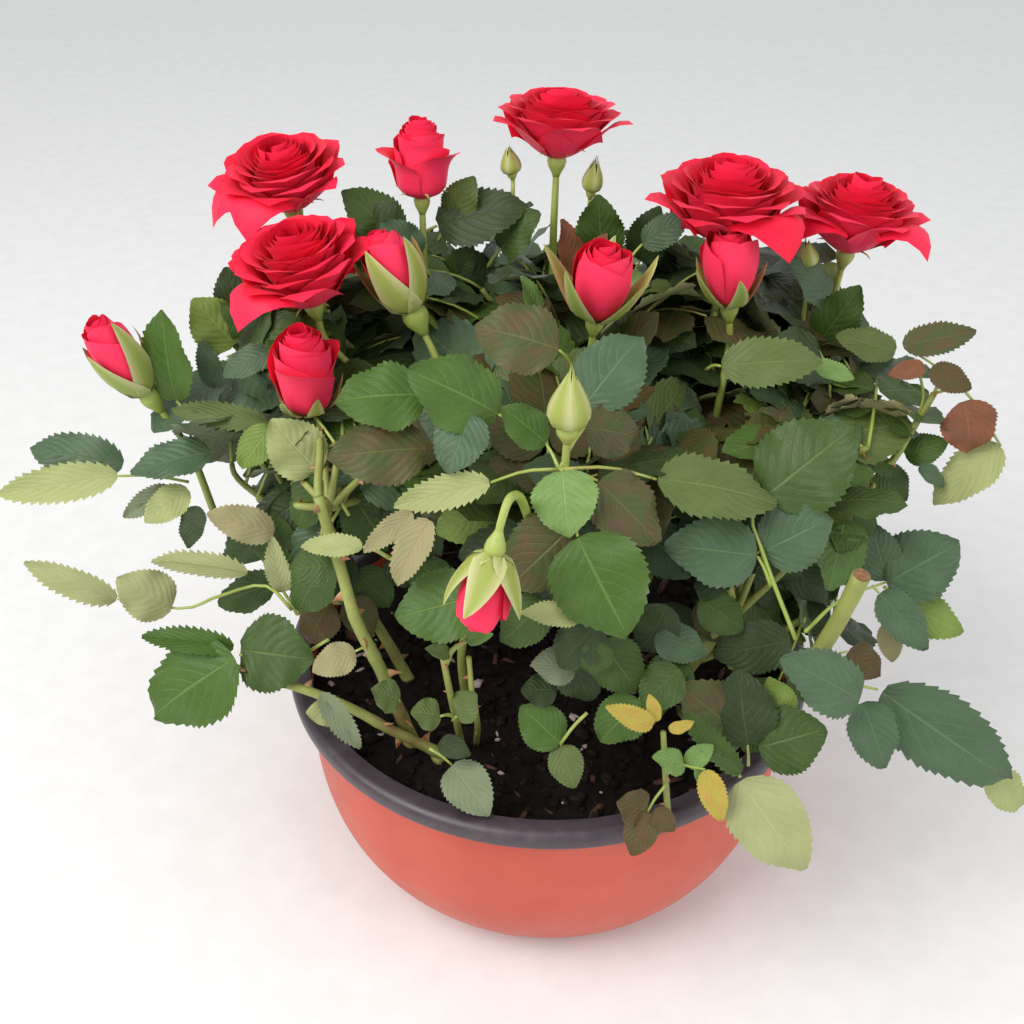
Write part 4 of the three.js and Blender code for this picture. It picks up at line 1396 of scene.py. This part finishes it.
# the shoots and leaf stalks that carry them: places along each, and its radius in mm
SET_SHOOTS = [
    ([(-83, -60, 210), (-90, -46, 220), (-92, -26, 229), (-97, -4, 238)], 1.9),
    ([(-154, -8, 199), (-168, -10, 203), (-183, -12, 204)], 0.8),
    ([(-106, -48, 163), (-118, -42, 171), (-140, -38, 161), (-156, -38, 154), (-185, -34, 155)], 0.9),
    ([(-89, -60, 158), (-108, -62, 147), (-126, -64, 152)], 0.9),
    ([(113, -10, 198), (126, -4, 208), (141, 0, 210), (149, 4, 225), (156, 8, 240)], 1.9),
    ([(156, 8, 240), (166, 6, 243), (177, 4, 231), (186, 2, 219)], 0.7),
    ([(149, 4, 225), (152, 8, 237), (148, 8, 250)], 0.8),
    ([(156, 8, 240), (157, 10, 249), (142, 14, 258)], 0.8),
    ([(96, -84, 189), (114, -58, 183), (137, -40, 179)], 0.9),
    ([(101, -84, 171), (116, -84, 164), (128, -82, 159)], 0.9),
    ([(93, -84, 185), (85, -70, 200), (81, -60, 208), (77, -52, 217), (82, -46, 223)], 1.0),
    ([(56, -92, 152), (67, -102, 147), (74, -112, 140)], 1.0),
    ([(51, -100, 98), (46, -112, 138), (43, -114, 165)], 1.5),
    ([(46, -114, 137), (42, -118, 134), (39, -122, 131)], 0.7),
    ([(45, -114, 150), (52, -113, 147), (60, -114, 146)], 0.8),
    ([(-36, -60, 98), (-37, -76, 134), (-38, -84, 155), (-40, -84, 172)], 1.7),
    ([(-30, -58, 98), (-28, -74, 127), (-29, -83, 149), (-30, -84, 172)], 1.4),
    ([(-39, -84, 168), (-36, -86, 177), (-30, -88, 184)], 1.3),
]
for places, thick in SET_SHOOTS:
    path = curve_through([mm(*place) for place in places], 14)
    paths = twig_paths if thick > 1.2 else rachis_paths
    paths.append((path, np.linspace(thick, 0.75 * thick, 14) / 1000))
SET_STALKS = len(rachis_paths)


def envelope(name):
    """A mass of foliage as a closed surface, with its middle and half sizes."""
    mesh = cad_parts[name].data
    tree = BVHTree.FromPolygons([v.co[:] for v in mesh.vertices],
                                [tuple(f.vertices) for f in mesh.polygons])
    low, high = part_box(name)
    return tree, np.array((low + high) / 2), np.array((high - low) / 2)


def room(envelope_tree, start, heading):
    """How far it is from a place inside a mass to its surface."""
    hit = envelope_tree.ray_cast(Vector(start), Vector(heading))
    return hit[3] if hit[0] is not None else 0.02


MASSES = list(FED_BY)
CROWN = [envelope(name)[1:] for name in MASSES]


def outside_crown(spot, slack):
    """Whether a place is out past every mass, by more than a share of its size."""
    return all(np.linalg.norm((spot - middle) / half) > 1 + slack for middle, half in CROWN)


def over_bare_soil(spot):
    """The open middle at the front, where the soil and the stems' feet show."""
    return -0.055 < spot[0] < 0.022 and spot[1] < 0.010 and spot[2] < 0.170


SPRAYS = ["spray_left_high", "spray_left_mid", "spray_left_low", "spray_right_high",
          "spray_right_mid", "spray_right_low", "spray_front_right", "shoot_front"]
KEPT_CLEAR = []      # places and radii of flowers that leaves keep off
for name, foot, tip, wide in flower_heads:
    KEPT_CLEAR.append((mix(foot, tip, 0.6), wide * 0.5))


def hides(spot, size):
    """Whether a leaflet there would sit in a flower or in front of what shows."""
    for middle, radius in KEPT_CLEAR:
        offset = spot - middle
        ahead = offset @ VIEW
        if ahead > -radius * 0.6 and np.linalg.norm(offset - VIEW * ahead) < radius + size * 0.30:
            return True
    for middle, radius in placed_spots:
        offset = spot - middle
        ahead = offset @ VIEW
        if ahead > -0.003 and np.linalg.norm(offset - VIEW * ahead) < radius * 0.75 + size * 0.22:
            return True
    return False


LEAF_ROOM = 13500          # cubic mm of a mass to each shoot, past the first eight
FIRST_SHOOTS = 8
TWIG_STEPS = 12
LEAVES_ON_SHOOT = 6
LEAFLET_SIZES = (0.030, 0.044)


def grow_mass(name, seed):
    """Fills a mass: shoots fan out from its cane, and leaves spiral up them."""
    rng = random.Random(seed)
    tree, middle, half = envelope(name)
    cane, _ = cane_lines[FED_BY[name]]
    root = mix(cane[-1], middle - UP * half[2] * 0.25, 0.5)
    start = cane[-3] if np.linalg.norm((cane[-1] - middle) / half) < 1.1 else cane[len(cane) * 2 // 3]
    twig_paths.append((curve_through([start, mix(start, root, 0.5) + UP * 0.004, root], 8),
                       np.linspace(0.0020, 0.0017, 8)))
    volume = half[0] * half[1] * half[2] * 1e9
    shoots = int(FIRST_SHOOTS + volume / LEAF_ROOM)
    for k in range(shoots):
        rise = 1 - 1.45 * (k + 0.5) / shoots
        flat = math.sqrt(max(0, 1 - rise ** 2))
        turn = k * GOLDEN_TURN + seed
        heading = np.array([flat * math.cos(turn), flat * math.sin(turn), rise])
        heading = unit(heading)
        reach = room(tree, middle, heading)
        tip = middle + heading * max(reach - 0.026, reach * 0.35)
        bow = mix(root, tip, 0.5) + heading * 0.012 + UP * rng.uniform(0, 0.010)
        path = curve_through([root, bow, tip], TWIG_STEPS)
        radii = np.linspace(0.0017, 0.0010, TWIG_STEPS)
        grown_twigs[len(twig_paths)] = 0
        twig_paths.append((path, radii))
        leaf_turn = rng.uniform(0, 6)
        kind_here = rng.choices((DEEP, BLUE, MID, SHADE, OLIVE, FLUSHED, FRESH, BRONZE),
                                (32, 16, 14, 16, 5, 10, 4, 3))[0]
        for j in range(LEAVES_ON_SHOOT):
            share = mix(0.42, 1.0, j / (LEAVES_ON_SHOOT - 1))
            step = min(int(share * (TWIG_STEPS - 1)), TWIG_STEPS - 1)
            spot = path[step]
            axis = unit(path[-1] - path[-3])
            leaf_turn += GOLDEN_TURN
            side = unit(np.cross(axis, (0.2, 0.3, 0.93)))
            out = side * math.cos(leaf_turn) + np.cross(axis, side) * math.sin(leaf_turn)
            lean = mix(0.15, 0.75, share)
            along = unit(out * (1 - lean * 0.6) + axis * lean + UP * 0.12 + heading * 0.25)
            outward = unit(spot - np.array([0, 0, 0.13]))
            tilt = np.array([rng.uniform(-0.42, 0.42) for _ in range(3)])
            face = unit(UP * 0.95 + outward * 0.45 + tilt)
            size = rng.uniform(*LEAFLET_SIZES)
            space = room(tree, spot, along)
            pairs = 2 if space > 0.042 else 1
            if rng.random() < 0.12:
                pairs = 3
            kind = kind_here if rng.random() < 0.72 else rng.choice((DEEP, BLUE, MID, SHADE, FLUSHED))
            if share > 0.98 and rng.random() < 0.35:
                kind, size = rng.choice((FRESH, SPRING, BRONZE, FLUSHED)), size * 0.75
            leaf(spot, along, face, size, pairs, kind, rng)
            borne_by[len(rachis_paths) - 1] = len(twig_paths) - 1, step


grown_twigs = {}      # for each twig grown here, how far along it leaves are left
borne_by = {}         # for each leaf stalk, its twig and how far along it springs
for seed, name in enumerate(MASSES):
    grow_mass(name, seed + 1)

# leaflets that would hide a flower or a placed leaf are left off, stalks as well
keep = []
bare = set()
for k in range(len(leaflets["place"])):
    length, stalk = leaflets["length"][k], leaflets["stalk"][k]
    spot = leaflets["place"][k] + leaflets["along"][k] * length * 0.5
    tip = spot + leaflets["along"][k] * length * 0.5
    stray = outside_crown(spot, 0.10) or outside_crown(tip, 0.24) or over_bare_soil(spot)
    stem = rachis_paths[stalk][0]
    off = stray or hides(spot, length) or hides(stem[4], 0.0) or hides(stem[0], 0.0)
    if off and leaflets["stalk"][k - 1] != stalk:
        bare.add(stalk)      # without the one at its tip the leaf goes
    keep.append(k < SET_COUNT or not (off or stalk in bare))
leaflets = {key: [value for value, kept in zip(values, keep) if kept]
            for key, values in leaflets.items()}
borne = set(leaflets["stalk"])
rachis_paths = [path for k, path in enumerate(rachis_paths) if k < SET_STALKS or k in borne]

# a twig is cut back to its last leaf, and one left bare goes
for stalk in sorted(borne & set(borne_by)):
    twig, step = borne_by[stalk]
    grown_twigs[twig] = max(grown_twigs[twig], step)
for twig, step in grown_twigs.items():
    path, radii = twig_paths[twig]
    twig_paths[twig] = path[:step + 1], radii[:step + 1]
twig_paths = [(path, radii) for path, radii in twig_paths if len(path) > 2]
for path, radii in twig_paths:
    put_thorns(path, radii, 0.016, 0.0028)


def blade_group():
    """Shared by every leaf finish: midrib, side veins, mottling and relief."""
    group = bpy.data.node_groups.new("leaf_blade", "ShaderNodeTree")
    for name, kind in (("Place", "NodeSocketVector"), ("Blade", "NodeSocketColor"),
                       ("Second", "NodeSocketColor"), ("Vein", "NodeSocketColor"),
                       ("Vein Strength", "NodeSocketFloat")):
        group.interface.new_socket(name, in_out="INPUT", socket_type=kind)
    for name, kind in (("Color", "NodeSocketColor"), ("Height", "NodeSocketFloat"),
                       ("Patch", "NodeSocketFloat")):
        group.interface.new_socket(name, in_out="OUTPUT", socket_type=kind)
    source = group.nodes.new("NodeGroupInput")
    result = group.nodes.new("NodeGroupOutput")

    def sum_up(operation, first, second=None, third=None):
        made = group.nodes.new("ShaderNodeMath")
        made.operation = operation
        for socket, value in zip(made.inputs, (first, second, third)):
            if isinstance(value, bpy.types.NodeSocket):
                group.links.new(value, socket)
            elif value is not None:
                socket.default_value = value
        return made.outputs[0]

    parts = node(group, "ShaderNodeSeparateXYZ", Vector=source.outputs["Place"])
    off = sum_up("ABSOLUTE", sum_up("SUBTRACT", parts.outputs["X"], 0.5))
    midrib = node(group, "ShaderNodeMapRange", Value=off, From_Min=0.022, From_Max=0.006,
                  To_Min=0.0, To_Max=1.0).outputs["Result"]
    sweep = sum_up("MULTIPLY_ADD", sum_up("POWER", off, 1.25), -1.05, parts.outputs["Y"])
    wave = sum_up("FRACT", sum_up("MULTIPLY", sweep, 8.0))
    near = sum_up("ABSOLUTE", sum_up("SUBTRACT", wave, 0.5))
    ribs = node(group, "ShaderNodeMapRange", Value=near, From_Min=0.070, From_Max=0.015,
                To_Min=0.0, To_Max=0.5).outputs["Result"]
    fade = node(group, "ShaderNodeMapRange", Value=off, From_Min=0.42, From_Max=0.20,
                To_Min=0.2, To_Max=1.0).outputs["Result"]
    ribs = sum_up("MULTIPLY", ribs, fade)
    veins = sum_up("MAXIMUM", midrib, ribs)
    net = node(group, "ShaderNodeTexVoronoi", Vector=source.outputs["Place"], Scale=26.0)
    net.feature = "DISTANCE_TO_EDGE"
    mesh_lines = node(group, "ShaderNodeMapRange", Value=net.outputs["Distance"], From_Min=0.10,
                      From_Max=0.0, To_Min=0.0, To_Max=0.35).outputs["Result"]
    patch = node(group, "ShaderNodeTexNoise", Vector=source.outputs["Place"], Scale=3.0, Detail=4.0,
                 Roughness=0.62)
    patch_level = node(group, "ShaderNodeMapRange", Value=patch.outputs["Fac"], From_Min=0.32,
                       From_Max=0.68, To_Min=0.0, To_Max=1.0).outputs["Result"]
    mottled = node(group, "ShaderNodeMix")
    mottled.data_type = "RGBA"
    group.links.new(patch_level, mottled.inputs["Factor"])
    group.links.new(source.outputs["Blade"], mottled.inputs[6])
    group.links.new(source.outputs["Second"], mottled.inputs[7])
    veined = node(group, "ShaderNodeMix")
    veined.data_type = "RGBA"
    strength = sum_up("MULTIPLY", sum_up("MULTIPLY_ADD", mesh_lines, 0.5, veins),
                      source.outputs["Vein Strength"])
    group.links.new(strength, veined.inputs["Factor"])
    group.links.new(mottled.outputs[2], veined.inputs[6])
    group.links.new(source.outputs["Vein"], veined.inputs[7])
    pillow = sum_up("MULTIPLY", near, 0.9)
    height = sum_up("SUBTRACT", pillow, sum_up("MULTIPLY_ADD", mesh_lines, 0.4, veins))
    group.links.new(veined.outputs[2], result.inputs["Color"])
    group.links.new(height, result.inputs["Height"])
    group.links.new(patch_level, result.inputs["Patch"])
    return group


blade = blade_group()


def leaf_material(name, kind, color, second, vein, vein_strength, roughness, relief):
    material, tree, surface = shader(name)
    made = tree.nodes.new("ShaderNodeGroup")
    made.node_tree = blade
    tree.links.new(own_cell(tree, kind), made.inputs["Place"])
    made.inputs["Blade"].default_value = (*color, 1)
    made.inputs["Second"].default_value = (*second, 1)
    made.inputs["Vein"].default_value = (*vein, 1)
    made.inputs["Vein Strength"].default_value = vein_strength
    tree.links.new(made.outputs["Color"], surface.inputs["Base Color"])
    gloss = node(tree, "ShaderNodeMapRange", Value=made.outputs["Patch"], To_Min=roughness - 0.05,
                 To_Max=roughness + 0.08).outputs["Result"]
    tree.links.new(gloss, surface.inputs["Roughness"])
    surface.inputs["Specular IOR Level"].default_value = 0.28
    bump = node(tree, "ShaderNodeBump", Height=made.outputs["Height"], Strength=relief,
                Distance=0.0006)
    tree.links.new(bump.outputs["Normal"], surface.inputs["Normal"])
    return material


LEAF_FINISHES = [
    ("leaf_deep", (0.038, 0.078, 0.012), (0.054, 0.096, 0.020), (0.13, 0.20, 0.05), 0.50, 0.38, 0.5),
    ("leaf_blue", (0.056, 0.104, 0.050), (0.076, 0.130, 0.066), (0.15, 0.23, 0.10), 0.45, 0.34, 0.5),
    ("leaf_mid", (0.050, 0.108, 0.014), (0.068, 0.132, 0.024), (0.17, 0.26, 0.06), 0.50, 0.38, 0.5),
    ("leaf_fresh", (0.150, 0.230, 0.040), (0.190, 0.270, 0.055), (0.32, 0.39, 0.12), 0.45, 0.42, 0.5),
    ("leaf_young", (0.400, 0.370, 0.050), (0.460, 0.270, 0.060), (0.50, 0.42, 0.13), 0.40, 0.45, 0.4),
    ("leaf_bronze", (0.100, 0.052, 0.018), (0.070, 0.066, 0.020), (0.19, 0.13, 0.05), 0.45, 0.42, 0.5),
    ("leaf_rusty", (0.230, 0.074, 0.034), (0.150, 0.066, 0.030), (0.30, 0.14, 0.07), 0.40, 0.45, 0.4),
    # leaf_shade (SHADE) is the deep green made darker: painted shade, for leaves deep in the crown and
    # in its dark gaps
    ("leaf_shade", (0.026, 0.046, 0.012), (0.038, 0.062, 0.020), (0.09, 0.13, 0.04), 0.45, 0.40, 0.5),
    ("back_pale", (0.320, 0.340, 0.150), (0.360, 0.385, 0.180), (0.42, 0.44, 0.21), 0.60, 0.62, 0.5),
    ("back_fresh", (0.330, 0.370, 0.140), (0.390, 0.420, 0.180), (0.43, 0.46, 0.20), 0.60, 0.62, 0.5),
    ("back_rusty", (0.350, 0.290, 0.150), (0.290, 0.285, 0.140), (0.40, 0.34, 0.17), 0.60, 0.62, 0.5),
    ("back_blue", (0.175, 0.210, 0.120), (0.210, 0.245, 0.145), (0.27, 0.31, 0.17), 0.60, 0.62, 0.5),
    ("leaf_olive", (0.088, 0.126, 0.030), (0.110, 0.150, 0.045), (0.20, 0.25, 0.08), 0.45, 0.40, 0.5),
    ("leaf_flushed", (0.046, 0.086, 0.018), (0.115, 0.062, 0.030), (0.17, 0.18, 0.06), 0.45, 0.40, 0.5),
    ("leaf_spring", (0.140, 0.250, 0.060), (0.180, 0.300, 0.085), (0.34, 0.42, 0.13), 0.45, 0.40, 0.5),
]
leaf_materials = [leaf_material(name, kind, *finish)
                  for kind, (name, *finish) in enumerate(LEAF_FINISHES)]


def leaves_piece(name, sheet, part, replaced=()):
    """Joins the leaflets of one part of the table into a piece."""
    table = {key: values[part] for key, values in leaflets.items()}
    faces = np.array(table["kind"])
    backs = np.array([BACK_OF[kind] for kind in table["kind"]])
    points = leaflet_points(sheet, table)
    mesh = sheets_mesh(name, sheet, list(points), faces, backs, math.radians(60))
    as_piece(name, mesh, replaced, leaf_materials)


leaves_piece("leaves_front", front_leaf, slice(0, SET_COUNT), SPRAYS)
MOST_TRIANGLES = 190000      # in one piece
MOST_LEAFLETS = MOST_TRIANGLES // int(np.sum(leaf_sheet.totals - 2))
for number, start in enumerate(range(SET_COUNT, len(leaflets["place"]), MOST_LEAFLETS)):
    leaves_piece(f"leaves_{number + 1}", leaf_sheet, slice(start, start + MOST_LEAFLETS),
                 () if number else MASSES)

as_piece("stalks", tubes("stalks", stalk_paths, 2), STALK_SOLIDS, [smooth_stem])
as_piece("twigs", tubes("twigs", twig_paths, 1), (), [green_bark])
as_piece("leaf_stalks", tubes("leaf_stalks", rachis_paths, 0), (), [smooth_stem])

material, tree, surface = shader("thorn_horn")
place = node(tree, "ShaderNodeTexCoord").outputs["Object"]
grain = node(tree, "ShaderNodeTexNoise", Vector=place, Scale=300.0, Detail=3.0)
tone = ramp(tree, grain.outputs["Fac"], [(0.35, (0.30, 0.10, 0.045)), (0.65, (0.42, 0.24, 0.10))])
tree.links.new(tone, surface.inputs["Base Color"])
surface.inputs["Roughness"].default_value = 0.45
as_piece("thorns", thorn.copies("thorns", thorns, None, math.radians(50)), (), [material])
